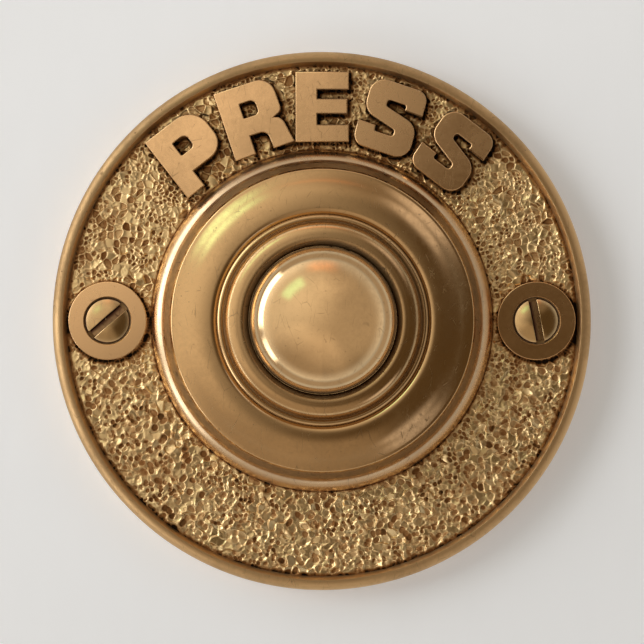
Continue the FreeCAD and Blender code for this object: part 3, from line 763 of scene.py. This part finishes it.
def hammered(x, y):
    """Height above the ground and depth of film for places in mm: coarse cells with fine ones
    broken into them, more of the fine where a slow cloud is thick. Lower down the pits thin out."""
    bent_x = x + 0.14 * np.sin(y * 1.9 + 1.3 * np.sin(x * 0.9))
    bent_y = y + 0.14 * np.sin(x * 2.1 + 1.1 * np.sin(y * 1.1))
    low = np.clip((2 - y) / 14 + 0.25 * waves(x * 1.5, y * 1.5, 7.0), 0, 1)
    high, pit, tone = cells(bent_x, bent_y, 1.05, 0.0, low)
    fine_high, fine_pit, fine_tone = cells(bent_x, bent_y, 0.66, 40.0, low)
    share = np.clip(0.5 + 1.3 * waves(x, y, 2.0), 0.0, 1.0)
    pitted = pit * (1 - share) + fine_pit * share
    height = 0.34 + 0.8 * high + 0.5 * share * fine_high - (0.30 - 0.12 * low) * pitted
    slow = 0.5 + 0.5 * waves(x * 0.7, y * 0.7, 5.0)
    toned = tone * (1 - share) + fine_tone * share
    return np.clip(height, 0.0, 0.75), (0.80 + 0.15 * low) * pitted + (0.15 + 0.35 * low) * toned + 0.08 * slow


# %% Letter outlines
letter_height, letter_mid_r = 9.9, 30.2
letter_bevel = 0.13
tall = letter_height
stem = 3.0
p_bowl = [(0, 0, 0), (0, tall, 0), (8.69, tall, 3.6), (8.69, 2.6, 3.6), (stem, 2.6, 0), (stem, 0, 0)]
r_body = [
    (0, 0, 0), (0, tall, 0), (8.35, tall, 3.2), (8.45, 4.75, 2.1), (7.0, 4.15, 0), (7.75, 3.95, 0.7),
    (8.25, 3.2, 1.2), (8.8, 0, 0), (5.7, 0, 0), (5.55, 2.7, 1.0), (stem + 0.05, 2.7, 0), (stem + 0.05, 0, 0),
]
counter = [(stem, 5.3, 0.15), (stem, 7.43, 0.15), (5.25, 7.43, 0.8), (5.25, 5.3, 0.6)]
e_body = [
    (0, 0, 0), (0, tall, 0), (7.53, tall, 0), (7.53, 7.39, 0), (3.05, 7.39, 0), (3.05, 6.1, 0), (7.32, 6.1, 0),
    (7.32, 3.98, 0), (3.05, 3.98, 0), (3.05, 2.43, 0), (7.53, 2.43, 0), (7.53, 0, 0),
]
s_half = [
    (4.24, 1.55, 0.06), (1.62, 1.6, 0.06), (1.62, 2.4, 0.3), (-1.13, 2.4, 0.46), (-1.13, 1.45, 0.46),
    (3.9, 0.1, 2.2), (4.2, -5.0, 2.7), (-4.05, -5.0, 2.7),
]
s_body = np.vstack([s_half, np.array(s_half) * (-1, -1, 1)]) + (4.24, tall / 2, 0)
letters = [
    ("P", [p_bowl, counter], 8.69, -37.9), ("R", [r_body, counter], 8.76, -18.6), ("E", [e_body], 7.53, 0.0),
    ("S", [s_body], 8.48, 18.6), ("S", [s_body], 8.48, 37.6),
]

def letter_points(outlines, width, clockwise):
    """Outline points of a letter where it stands: its own points, turned clockwise round the axis."""
    path = np.vstack([rounded(corners, steps=4) for corners in outlines])
    ahead = np.roll(path, -1, axis=0)
    path = (path[:, None] + (ahead - path)[:, None] * np.linspace(0, 1, 12, endpoint=False)[None, :, None])
    flat = path.reshape(-1, 2) + (-width / 2, -letter_height / 2 + letter_mid_r)
    turn = np.radians(clockwise)
    return flat @ np.array([[np.cos(turn), -np.sin(turn)], [np.sin(turn), np.cos(turn)]])


letter_edges = [letter_points(outlines, width, clockwise) for _, outlines, width, clockwise in letters]
print("letters on the ground:", len(letter_edges))


def painted_shadow_round(x, y, edges, reach):
    """Painted shade at the foot of the letters and bosses: a bell curve of the distance."""
    film = np.zeros_like(x)
    for edge in edges:
        low, high = edge.min(axis=0) - 3 * reach, edge.max(axis=0) + 3 * reach
        near = (x > low[0]) & (x < high[0]) & (y > low[1]) & (y < high[1])
        if near.any():
            away = np.hypot(x[near][:, None] - edge[None, :, 0], y[near][:, None] - edge[None, :, 1]).min(axis=1)
            film[near] = np.maximum(film[near], np.exp(-((away / reach) ** 2)))
    return film


# %% Ground sectors
ground_rings, sector_steps, sectors = 140, 560, 4
buried_z = ground_z - 0.3
shadow_shift = 0.24
circle = np.linspace(0, 2 * np.pi, 90)
painted_shadow_edges = letter_edges + [
    np.stack([side * boss_x + (boss_r + 0.1) * np.cos(circle), (boss_r + 0.1) * np.sin(circle)], axis=-1)
    for side in (-1, 1)
]
ground_pieces = []
for sector in range(sectors):
    radius = np.linspace(ground_inner_r - 0.15, rim_foot_r + 0.1, ground_rings)
    angle = (sector + np.linspace(0, 1, sector_steps)) * 2 * np.pi / sectors
    r, a = np.meshgrid(radius, angle, indexing="ij")
    x, y = r * np.cos(a), r * np.sin(a)
    height, film = hammered(x, y)
    # Painted shadow: a dark band round the letters and bosses, shifted to the lower right.
    film = film + 1.5 * painted_shadow_round(x - shadow_shift, y + shadow_shift, painted_shadow_edges, 0.36)
    foot = np.clip((rim_foot_r - r) / 0.45, 0, 1) * np.clip((r - ground_inner_r) / 0.25 + 0.4, 0, 1)
    z = ground_z + 0.06 + height * (0.25 + 0.75 * foot)
    # Painted shade: darker film close to the rim's foot and the raised centre's bead.
    foot_painted_shade = 1.8 - np.clip((rim_foot_r - r) / 0.6, 0, 1) - 0.8 * np.clip((r - ground_inner_r) / 0.5, 0, 1)
    slope_x = np.gradient(z, axis=0) / np.gradient(r, axis=0)
    slope_a = np.gradient(z, axis=1) / (np.gradient(a, axis=1) * r)
    # Painted shade: steep slopes of the cells get more film.
    slope_painted_shade = np.clip((np.hypot(slope_x, slope_a) - 0.4) / 0.8, 0, 1)
    depth = np.clip(film + foot_painted_shade + 0.30 * slope_painted_shade, 0, 2.0)
    normal = np.stack([
        -slope_x * np.cos(a) + slope_a * np.sin(a), -slope_x * np.sin(a) - slope_a * np.cos(a), np.ones_like(r)
    ], axis=-1)
    normal /= np.linalg.norm(normal, axis=-1, keepdims=True)
    index = np.arange(r.size).reshape(r.shape)
    quads = np.stack([index[:-1, :-1], index[1:, :-1], index[1:, 1:], index[:-1, 1:]], axis=-1).reshape(-1, 4)
    border = np.concatenate([index[:, 0], index[-1, 1:], index[-2::-1, -1], index[0, -2:0:-1]])
    points = np.stack([x, y, z], axis=-1).reshape(-1, 3)
    sunk = points[border] * (1, 1, 0) + (0, 0, buried_z)
    below = np.arange(len(border)) + len(points)
    skirt = np.stack([border, below, np.roll(below, -1), np.roll(border, -1)], axis=-1)
    name = f"hammered_ground_{sector + 1}"
    mesh = make_mesh(name, np.vstack([points, sunk]), [quads, skirt, below[None, ::-1]])
    set_attribute(mesh, "depth", np.concatenate([depth.ravel(), np.ones(len(border))]))
    normals = np.vstack([normal.reshape(-1, 3), normal.reshape(-1, 3)[border]])
    mesh.normals_split_custom_set_from_vertices(upright(normals) / MM)
    ground_piece = bpy.data.objects.new(name, mesh)
    ground_pieces.append(ground_piece)
    bpy.context.scene.collection.objects.link(ground_piece)
    mesh.materials.append(ground_brass)
    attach(ground_piece, "root")
    print(name, len(points), "points")

# %% [markdown]
# ## The screw bosses
# Each wall screw passes through a flat round boss that was faced off, so it is plain and level. The
# visible ring is turned again as a fine skin. Its inner edge is the mouth of the countersink.

# %% Bosses
mouth_r = 3.45
boss_outline = rounded([
    (3.95, 4.1, 0), (3.3, 4.2, 0), (3.215, 4.385, 0), (3.33, 4.5, 0), (mouth_r - 0.01, boss_top_z + 0.03, 0.02),
    (boss_r + 0.03, boss_top_z + 0.03, 0.12), (boss_r + 0.03, ground_z - 0.2, 0), (4.6, 2.9, 0),
])
flat_pieces = []
for name, side in (("left_boss_face", -1), ("right_boss_face", 1)):
    # Painted shade: black in the gap round the screw head, darker at the boss's foot.
    painted_shade = [(mouth_r - 0.16, 4.44, 0.14, 8.0), (boss_r, 3.8, 0.5, 4.0)]
    mesh = turned_mesh(name, boss_outline, 160, centre=(side * boss_x, 0.0), painted_shade=painted_shade)
    flat_pieces.append(add_piece(name, mesh, face_brass, "root"))

# %% [markdown]
# ## The raised letters
# The word tells the visitor what to do. It is set in plain heavy block capitals, each drawn as an
# outline of straight sides and rounds. A flat curve in Blender fills such an outline, leaves its
# holes open and gives it thickness and a small bevel. It is made a mesh first, and then each letter
# is turned and set on its place along an arc above the raised centre.

# %% Letters set on their arc
for number, (letter, outlines, width, clockwise) in enumerate(letters, 1):
    curve = bpy.data.curves.new("outline", "CURVE")
    curve.dimensions = "2D"
    curve.fill_mode = "BOTH"
    for corners in outlines:
        path = rounded(corners, steps=10)
        spline = curve.splines.new("POLY")
        spline.points.add(len(path) - 1)
        spline.points.foreach_set("co", np.pad(path, ((0, 0), (0, 2)), constant_values=(0, 1)).ravel())
        spline.use_cyclic_u = True
    lower, upper = ground_z - 0.3, boss_top_z + 0.03
    curve.bevel_depth, curve.bevel_resolution = letter_bevel, 2
    curve.offset = -letter_bevel
    curve.extrude = (upper - lower) / 2 - letter_bevel
    carrier = bpy.data.objects.new("outline", curve)
    mesh = bpy.data.meshes.new_from_object(carrier)
    flat = np.zeros(len(mesh.vertices) * 3)
    mesh.vertices.foreach_get("co", flat)
    flat = flat.reshape(-1, 3) + (-width / 2, -tall / 2 + letter_mid_r, (upper + lower) / 2)
    turn = np.radians(clockwise)
    placed = flat.copy()
    placed[:, 0] = flat[:, 0] * np.cos(turn) + flat[:, 1] * np.sin(turn)
    placed[:, 1] = flat[:, 1] * np.cos(turn) - flat[:, 0] * np.sin(turn)
    mesh.vertices.foreach_set("co", upright(placed).ravel())
    mesh.update()
    name = f"letter_{number}_{letter}"
    mesh.name = name
    rise = placed[:, 2] - upper
    # Painted shade on the letters' side walls; the bevel's thinner film is edge wear.
    set_attribute(mesh, "crease", np.where(rise < -letter_bevel - 0.02, -7.0, np.where(rise < -0.01, 1.5, 0.0)))
    mesh.shade_smooth()
    mesh.set_sharp_from_angle(angle=np.radians(40))
    bpy.data.objects.remove(carrier)
    flat_pieces.append(add_piece(name, mesh, face_brass, "root", crisp=True))


# %% [markdown]
# ## The collar
# A turned ring holds the button in the plate: a rolled front, a steep groove and a small bead that
# hides the joint with the casting. Behind the plate it carries a spigot for its ring nut.

# %% Collar
bore_r = 10.45
roll_r = bore_r + 2.9
wall_r = roll_r + 0.25
bead_r = wall_r + 0.38
seat_z = collar_back + 2.4
collar_lip_z = collar_crest - 0.6
bead_z = collar_lip_z - 1.95
bore_top = (bore_r, collar_lip_z - 0.1)
roll_crest = (bore_r + 1.45, collar_crest)
roll_edge = (roll_r, collar_crest - 0.36)
bead_crest = (bead_r + 0.45, bead_z + 0.22)
# Painted shade in the bore, the groove and the joint, and darker film that dims the gleams on the roll edge and the
# bead.
collar_painted_shade = [
    (bore_r + 0.1, 11.3, 0.75, 5.0), (wall_r + 0.1, bead_z + 0.5, 0.5, 3.0),
    (roll_r + 0.1, collar_crest - 0.5, 0.3, 3.0), (collar_r, bead_z - 0.1, 0.25, 4.0),
    (*bead_crest, 0.3, 1.5), (bore_r + 0.5, 12.5, 0.5, 3.0),
]
print("collar from", round(collar_back, 2), "to", round(collar_crest, 2), "mm above the wall")

# %% Collar outline
collar_outline = rounded(
    [(11.8, 6.85, 0.15), (11.8, 10.0, 0), (bore_r, 10.0, 0.05), (*bore_top, 0.12)]
    + arc_to(bore_top, roll_crest, 62, 10)[1:]
    + arc_to(roll_crest, roll_edge, 0, 10)[1:-1]
    + [(roll_edge[0] + 0.03, roll_edge[1] - 0.02, 0.12), (wall_r, collar_lip_z - 0.25, 0.12), (bead_r, bead_z, 0.12)]
    + arc_to((bead_r, bead_z), bead_crest, 52, 8)[2:]
    + arc_to(bead_crest, (collar_r, bead_z - 0.2), 0, 10)[1:-1]
    + [(collar_r, bead_z - 0.2, 0.05), (collar_r, seat_z, 0.05), (13.2, seat_z, 0.1), (13.2, 6.85, 0.15)]
)
button_collar = add_piece(
    "turned_collar",
    turned_mesh("turned_collar", collar_outline, painted_shade=collar_painted_shade),
    turned_brass, "root",
    replaced=("button_collar",),
)

# %% [markdown]
# ## The push button
# The button is a turned cap with a low dome that runs on into a well rounded edge. Inside it is
# hollow for the spring, with a stop flange at its foot and a stem that works the contacts. Its
# outline follows the frame's button, from the middle of the dome round to the end of the stem.

# %% Button outline
button_box = [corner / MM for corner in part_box("push_button")]
button_r, button_top = bore_r - 0.17, -button_box[0].y
flange_r, stem_end = button_box[1].x, -button_box[1].y
dome_r, edge_round = 19.0, 3.47
tilt = np.arcsin((button_r - edge_round) / (dome_r - edge_round))
dome_z = button_top - dome_r
edge_z = dome_z + (dome_r - edge_round) * np.cos(tilt)
flange_z = stem_end + 3.7
dome_angle, edge_angle = np.linspace(0, tilt, 40), np.linspace(tilt, np.pi / 2, 32)
dome_arc = [(dome_r * np.sin(a), dome_z + dome_r * np.cos(a), 0.0) for a in dome_angle]
edge_arc = [
    (button_r - edge_round + edge_round * np.sin(a), edge_z + edge_round * np.cos(a), 0.0) for a in edge_angle
]
button_outline = rounded(
    dome_arc + edge_arc[1:] + [(button_r, z, 0.0) for z in edge_z - np.linspace(0.3, 2.1, 7)]
    + [(button_r, flange_z + 1.1, 0.08), (flange_r, flange_z + 1.1, 0.12), (flange_r, flange_z, 0.12)]
    + [(8.7, flange_z, 0.12), (8.7, edge_z + 1.0, 0.3), (2.2, edge_z + 1.0, 0.2), (2.2, stem_end, 0.12)]
    + [(1.1, stem_end, 0), (1.1, stem_end + 2.0, 0), (0, stem_end + 2.0, 0)],
    closed=False,
)
button_outline[[0, -1], 0] = 0.0
# Painted shade: the button's side is darkened near the mouth of the bore.
push_button = add_piece(
    "domed_button",
    turned_mesh("domed_button", button_outline, painted_shade=[(button_r + 0.1, edge_z + 0.6, 0.8, 4.0), (button_r, edge_z - 1.0, 1.0, 6.0)]),
    button_brass, "button",
    replaced=("push_button",),
)

# %% A card beside the button
right_card = soft_panel("right_card", (0.065, -0.13, 0.01), 0.34, 0.38, (1.0, 0.86, 0.70))


# %% [markdown]
# ## The wall screws
# Both screws are slotted wood screws with a raised head. The head is a grid: x runs across the slot
# and y along it, shortened at each x so that its end stays on the head's round edge. A smooth step
# in x lowers the grid to the slot's floor. Its border then goes down ring by ring: the cone, the
# plain shank, and below the wall's plane a thread, where each ring grows and shrinks with a wave that
# climbs as it goes round.

# %% Screw helper
def slotted_grid(head_r, slot_width, top_of, floor_z, radius_at, across=40, along=26):
    """Points (x, y, z) of a slotted head on a grid, and its border in order. The height is the
    domed top outside the slot and the floor inside it, and y is t times the root of R2 - x2."""
    wall = slot_width / 2
    outer = head_r * np.cos(np.linspace(0.06, np.arccos((wall + 0.1) / head_r), across))
    steps = np.array([0.07, 0.04, 0.015, 0.0, -0.004, -0.012])
    half = np.concatenate([outer, wall + steps, wall * np.array([0.6, 0.2])])
    x = np.concatenate([-half, half[::-1]])
    sunk = np.clip((wall - np.abs(x)) / 0.012 + 0.35, 0, 1)
    lip = 0.05 * np.clip(1 - (np.abs(x) - wall) / 0.07, 0, 1) ** 2
    t = np.sin(np.linspace(-np.pi / 2, np.pi / 2, along))
    reach = np.where(sunk > 0.5, radius_at(floor_z), head_r)
    y = t[None] * np.sqrt(np.maximum(reach**2 - x**2, 0))[:, None]
    gx = np.repeat(x[:, None], along, axis=1)
    top = top_of(np.hypot(gx, y)) - lip[:, None]
    z = top * (1 - sunk[:, None]) + floor_z * sunk[:, None]
    return np.stack([gx, y, z], axis=-1)


def lofted(grid, rings):
    """Closes a grid with rings that follow its border, and a last point on the axis."""
    index = np.arange(grid.shape[0] * grid.shape[1]).reshape(grid.shape[:2])
    quads = np.stack([index[:-1, :-1], index[1:, :-1], index[1:, 1:], index[:-1, 1:]], axis=-1).reshape(-1, 4)
    border = np.concatenate([index[:, 0], index[-1, 1:], index[-2::-1, -1], index[0, -2:0:-1]])
    points = grid.reshape(-1, 3)
    angle = np.arctan2(points[border, 1], points[border, 0])
    radius, height = rings(angle, points[border, 2])
    ring_points = np.stack([radius * np.cos(angle), radius * np.sin(angle), height], axis=-1)
    count = len(border)
    rows = np.vstack([border, len(points) + np.arange(len(radius) * count).reshape(-1, count)])
    beside = np.roll(rows, -1, axis=1)
    sides = np.stack([rows[:-1], rows[1:], beside[1:], beside[:-1]], axis=-1).reshape(-1, 4)
    tip = len(points) + ring_points.shape[0] * count
    points = np.vstack([points, ring_points.reshape(-1, 3), [[0, 0, height[-1].mean()]]])
    cap = np.stack([np.full(count, tip), beside[-1], rows[-1]], axis=-1)
    return points, [quads, sides, cap], border


# %% Wall screws
head_r, head_edge_z, head_rise = 3.2, 4.35, -screw_box[0].y - 4.35
screw_tip_z = -screw_box[1].y
slot_width, slot_floor_z = 1.15, 3.95
shank_r, root_r, crest_thread_r = 1.75, 1.25, 1.75
thread_pitch, point_length, point_r = 1.41, 4.0, 0.25


def head_top(r):
    """Raised head: a cap of a ball whose radius is (edge radius squared + rise squared) / 2 rises."""
    ball_r = (head_r**2 + head_rise**2) / (2 * head_rise)
    return head_edge_z + head_rise - ball_r + np.sqrt(ball_r**2 - np.minimum(r, head_r) ** 2)


def cone_radius(z):
    """Radius of the countersunk cone, which falls one for one below the head's edge."""
    return np.clip(head_r - (head_edge_z - 0.1 - z), shank_r, head_r)


def screw_rings(angle, border_z):
    """Radius and height of the rings below the head: cone, shank, thread and point."""
    cone_z = np.array([head_edge_z - 0.1, head_edge_z - 0.8, head_edge_z - 0.1 - (head_r - shank_r), 0.2])
    thread_z = np.linspace(0.0, screw_tip_z, 150)
    z = np.concatenate([cone_z, thread_z])[:, None] + 0 * angle
    below_border = border_z - 0.02 * np.arange(1, len(z) + 1)[:, None]
    z = np.where(z > 0, np.minimum(z, below_border), z)
    turns = z / thread_pitch - angle / (2 * np.pi)
    tooth = np.clip(1.9 * np.abs(2 * (turns - np.floor(turns)) - 1) - 0.75, 0, 1)
    start = np.clip(-z / 1.2, 0, 1)
    narrow = np.clip((z - screw_tip_z) / point_length, 0, 1)
    thread = root_r * narrow + (crest_thread_r - root_r) * tooth * start * narrow**0.5
    thread = thread + (shank_r - root_r) * (1 - start)
    return np.where(z > 0, cone_radius(z), np.maximum(thread, point_r * narrow + 0.02)), z


for name, node, side, slot_angle in (
    ("wood_screw_left", "wall_screw_left", -1, 41.0), ("wood_screw_right", "wall_screw_right", 1, 101.0)
):
    grid = slotted_grid(head_r, slot_width, head_top, slot_floor_z, cone_radius)
    points, faces, border = lofted(grid, screw_rings)
    turn = np.radians(slot_angle - 90)
    turned_x = points[:, 0] * np.cos(turn) - points[:, 1] * np.sin(turn) + side * boss_x
    turned_y = points[:, 0] * np.sin(turn) + points[:, 1] * np.cos(turn)
    mesh = make_mesh(name, np.stack([turned_x, turned_y, points[:, 2]], axis=-1), faces)
    from_axis = np.hypot(points[:, 0], points[:, 1])
    below = head_top(from_axis) - points[:, 2]
    # Painted shadow along one wall of the slot floor; painted shade in the gap under the head's edge and round its rim.
    slot_painted_shadow = np.interp(points[:, 0], [-slot_width / 2, -slot_width * 0.3, 0.0], [-9.0, -4.0, -2.0])
    in_gap = (below > 0.12) & (points[:, 2] > head_edge_z - 2.0)
    crease = np.where(np.abs(points[:, 2] - slot_floor_z) < 0.01, slot_painted_shadow, -8.0 * in_gap)
    crease = crease - 7.0 * np.clip((from_axis - head_r + 0.2) / 0.12, 0, 1)
    set_attribute(mesh, "crease", crease)
    mesh.set_sharp_from_angle(angle=np.radians(50))
    add_piece(name, mesh, screw_brass, "root", replaced=(node,), crisp=True)


# %% [markdown]
# ## The spring and the leaf
# Two springy pieces change shape when the button is pressed; here each is made in its rest shape.
# The coil spring is a wire carried along a helix whose end turns lie flat. The leaf is a thin strip
# that narrows from its terminal to its point: its plan is the outline of two discs and the lines that
# touch both, and it is divided along its length so that it can bend.

# %% Return spring
spring_r, wire_r = spring_box[1].x - 0.3, 0.3
spring_low, spring_high = -spring_box[1].y, -spring_box[0].y
spring_turns, dead_turns, turn_steps, wire_steps = 6.0, 1.0, 48, 12
turns = np.linspace(0, spring_turns, int(spring_turns * turn_steps) + 1)
flat_pitch = 2 * wire_r
open_pitch = (spring_high - spring_low - flat_pitch * (1 + 2 * dead_turns)) / (spring_turns - 2 * dead_turns)
climb = np.interp(
    turns, [0, dead_turns, spring_turns - dead_turns, spring_turns],
    np.cumsum([0, dead_turns * flat_pitch, (spring_turns - 2 * dead_turns) * open_pitch, dead_turns * flat_pitch]),
)
angle = 2 * np.pi * turns[:, None]
around = np.linspace(0, 2 * np.pi, wire_steps, endpoint=False)[None]
ring_r = spring_r + wire_r * np.cos(around)
coil = np.stack([
    ring_r * np.cos(angle), ring_r * np.sin(angle),
    spring_low + wire_r + climb[:, None] + wire_r * np.sin(around) + 0 * angle,
], axis=-1)
index = np.arange(coil.shape[0] * wire_steps).reshape(-1, wire_steps)
beside = np.roll(index, -1, axis=1)
tube = np.stack([index[:-1], index[1:], beside[1:], beside[:-1]], axis=-1).reshape(-1, 4)
spring_mesh = make_mesh("coil_spring", coil.reshape(-1, 3), [tube[:, ::-1], index[:1], index[-1:, ::-1]])
print("coils rise", round(float(open_pitch), 2), "mm a turn")

# %% Leaf contact
leaf_root_r, leaf_end_r, point_x = 3.0, 1.9, 5.4
root_x = leaf_box[0].x + leaf_root_r
reach = point_x - root_x
lean = np.arcsin((leaf_root_r - leaf_end_r) / reach)
root_touch, end_touch = root_x + leaf_root_r * np.sin(lean), point_x + leaf_end_r * np.sin(lean)
bend_x = np.concatenate([
    root_x - leaf_root_r * np.cos(np.linspace(0.05, np.pi / 2 + lean, 14)),
    np.linspace(root_touch, end_touch, 40)[1:-1],
    point_x + leaf_end_r * np.cos(np.linspace(np.pi / 2 - lean, 0.05, 12)),
])
half_width = np.select(
    [bend_x < root_touch, bend_x > end_touch],
    [np.sqrt(np.maximum(leaf_root_r**2 - (bend_x - root_x) ** 2, 0)),
     np.sqrt(np.maximum(leaf_end_r**2 - (bend_x - point_x) ** 2, 0))],
    (leaf_root_r - (bend_x - root_x) * np.sin(lean)) / np.cos(lean),
)
t = np.linspace(-1, 1, 9)
grid = np.stack([
    np.repeat(bend_x[:, None], len(t), axis=1), half_width[:, None] * t, np.full((len(bend_x), len(t)), -leaf_box[0].y)
], axis=-1)
index = np.arange(grid.shape[0] * len(t)).reshape(-1, len(t))
top = np.stack([index[:-1, :-1], index[1:, :-1], index[1:, 1:], index[:-1, 1:]], axis=-1).reshape(-1, 4)
border = np.concatenate([index[:, 0], index[-1, 1:], index[-2::-1, -1], index[0, -2:0:-1]])
points = grid.reshape(-1, 3)
under = points * (1, 1, 0) + (0, 0, -leaf_box[1].y)
sides = np.stack([border, border + len(points), np.roll(border, -1) + len(points), np.roll(border, -1)], axis=-1)
leaf_mesh = make_mesh("leaf_contact", np.vstack([points, under]), [top, top[:, ::-1] + len(points), sides])
leaf_mesh.set_sharp_from_angle(angle=np.radians(40))

# %% [markdown]
# ## The other metals and the mouldings
# Behind the plate sit bright turned terminals, spring bronze, silver points, plated screws, a drawn
# steel spring, a dark moulded base and a red fibre tip. They keep the shapes of the frame and get
# their own finishes. A metal has a little turned or rolled grain, and a moulding has a fine pitted
# skin.

# %% Plain finishes
def plain_finish(name, colour, darker, metal, sheen, lumps, grain_scale, depth):
    """A finish of two colours in soft clouds, with a fine grain in its colour, sheen and bumps."""
    material = bpy.data.materials.new(name)
    material.use_nodes = True
    tree = material.node_tree
    shader = tree.nodes["Principled BSDF"]
    shader.inputs["Metallic"].default_value = metal
    place = add_node(tree, "TexCoord", {}, output=3)
    grain = noise(tree, stretched(tree, place, grain_scale), 1000.0, 3.0)
    clouds = ramp(tree, noise(tree, place, lumps, 4.0), 0.3, 0.7)
    share = maths(tree, "MULTIPLY_ADD", grain, 0.4, maths(tree, "MULTIPLY", clouds, 0.5))
    tree.links.new(tint(tree, share, colour + (1,), darker + (1,)), shader.inputs["Base Color"])
    tree.links.new(maths(tree, "MULTIPLY_ADD", grain, 0.16, sheen - 0.08), shader.inputs["Roughness"])
    inputs = {"Height": grain, "Strength": 0.4, "Distance": depth}
    tree.links.new(add_node(tree, "Bump", inputs), shader.inputs["Normal"])
    return material


cast_back = plain_finish("cast_back", (0.55, 0.36, 0.16), (0.26, 0.15, 0.06), 1.0, 0.5, 120.0, (1, 1, 1), 0.00008)
bright_brass = plain_finish("bright_brass", (0.86, 0.64, 0.32), (0.6, 0.40, 0.16), 1.0, 0.3, 200.0, (1, 6, 1), 0.00001)
spring_bronze = plain_finish("spring_bronze", (0.80, 0.50, 0.30), (0.5, 0.28, 0.14), 1.0, 0.32, 150.0, (0.1, 2, 3), 0.00001)
silver = plain_finish("silver_points", (0.85, 0.84, 0.80), (0.6, 0.58, 0.54), 1.0, 0.3, 500.0, (1, 1, 1), 0.000005)
drawn_steel = plain_finish("drawn_steel", (0.55, 0.55, 0.56), (0.30, 0.29, 0.28), 1.0, 0.35, 300.0, (1, 3, 1), 0.000005)
plated_steel = plain_finish("plated_steel", (0.70, 0.70, 0.68), (0.45, 0.44, 0.40), 1.0, 0.35, 250.0, (1, 1, 1), 0.00001)
base_moulding = plain_finish("base_moulding", (0.045, 0.028, 0.02), (0.02, 0.012, 0.009), 0.0, 0.38, 90.0, (1, 1, 1), 0.00002)
tip_fibre = plain_finish("tip_fibre", (0.30, 0.06, 0.03), (0.18, 0.03, 0.02), 0.0, 0.6, 400.0, (1, 3, 1), 0.00002)

frame_finishes = {
    cast_back: ("face_plate",),
    turned_brass: ("collar_nut",),
    bright_brass: tuple(f"terminal_{piece}_{side}" for piece in ("insert", "washer", "screw") for side in ("left", "right")),
    spring_bronze: ("fixed_contact",),
    silver: ("moving_contact_point", "fixed_contact_point"),
    plated_steel: ("base_screw_upper", "base_screw_lower"),
    base_moulding: ("contact_base",),
    tip_fibre: ("button_tip",),
}
for finish, names in frame_finishes.items():
    for name in names:
        for material_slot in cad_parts[name].material_slots:
            material_slot.material = finish
print("frame nodes dressed:", sum(len(names) for names in frame_finishes.values()))

# %% Springy pieces take their finish
coil_spring = add_piece("coil_spring", spring_mesh, drawn_steel, None)
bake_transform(coil_spring)
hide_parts("return_spring")
leaf_contact = add_piece("leaf_contact", leaf_mesh, spring_bronze, None)
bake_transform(leaf_contact)
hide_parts("moving_contact")

# %% [markdown]
# ## Which piece each lamp reaches
# A studio keeps a lamp off a piece with a black flag. Here light linking does it: a lamp's receiver
# collection lists the pieces that it reaches, or the ones that it leaves out.

# %% Light links
lights_only(wall_sun, [wall])
lights_only(near_lamp, [wall, rim_band] + flat_pieces, "EXCLUDE")
lights_only(face_lamp, flat_pieces + ground_pieces)
lights_only(right_card, [push_button])
for gleam in gleams:
    lights_only(gleam, [raised_centre, button_collar])
print("pieces that the face lamp reaches:", len(flat_pieces))
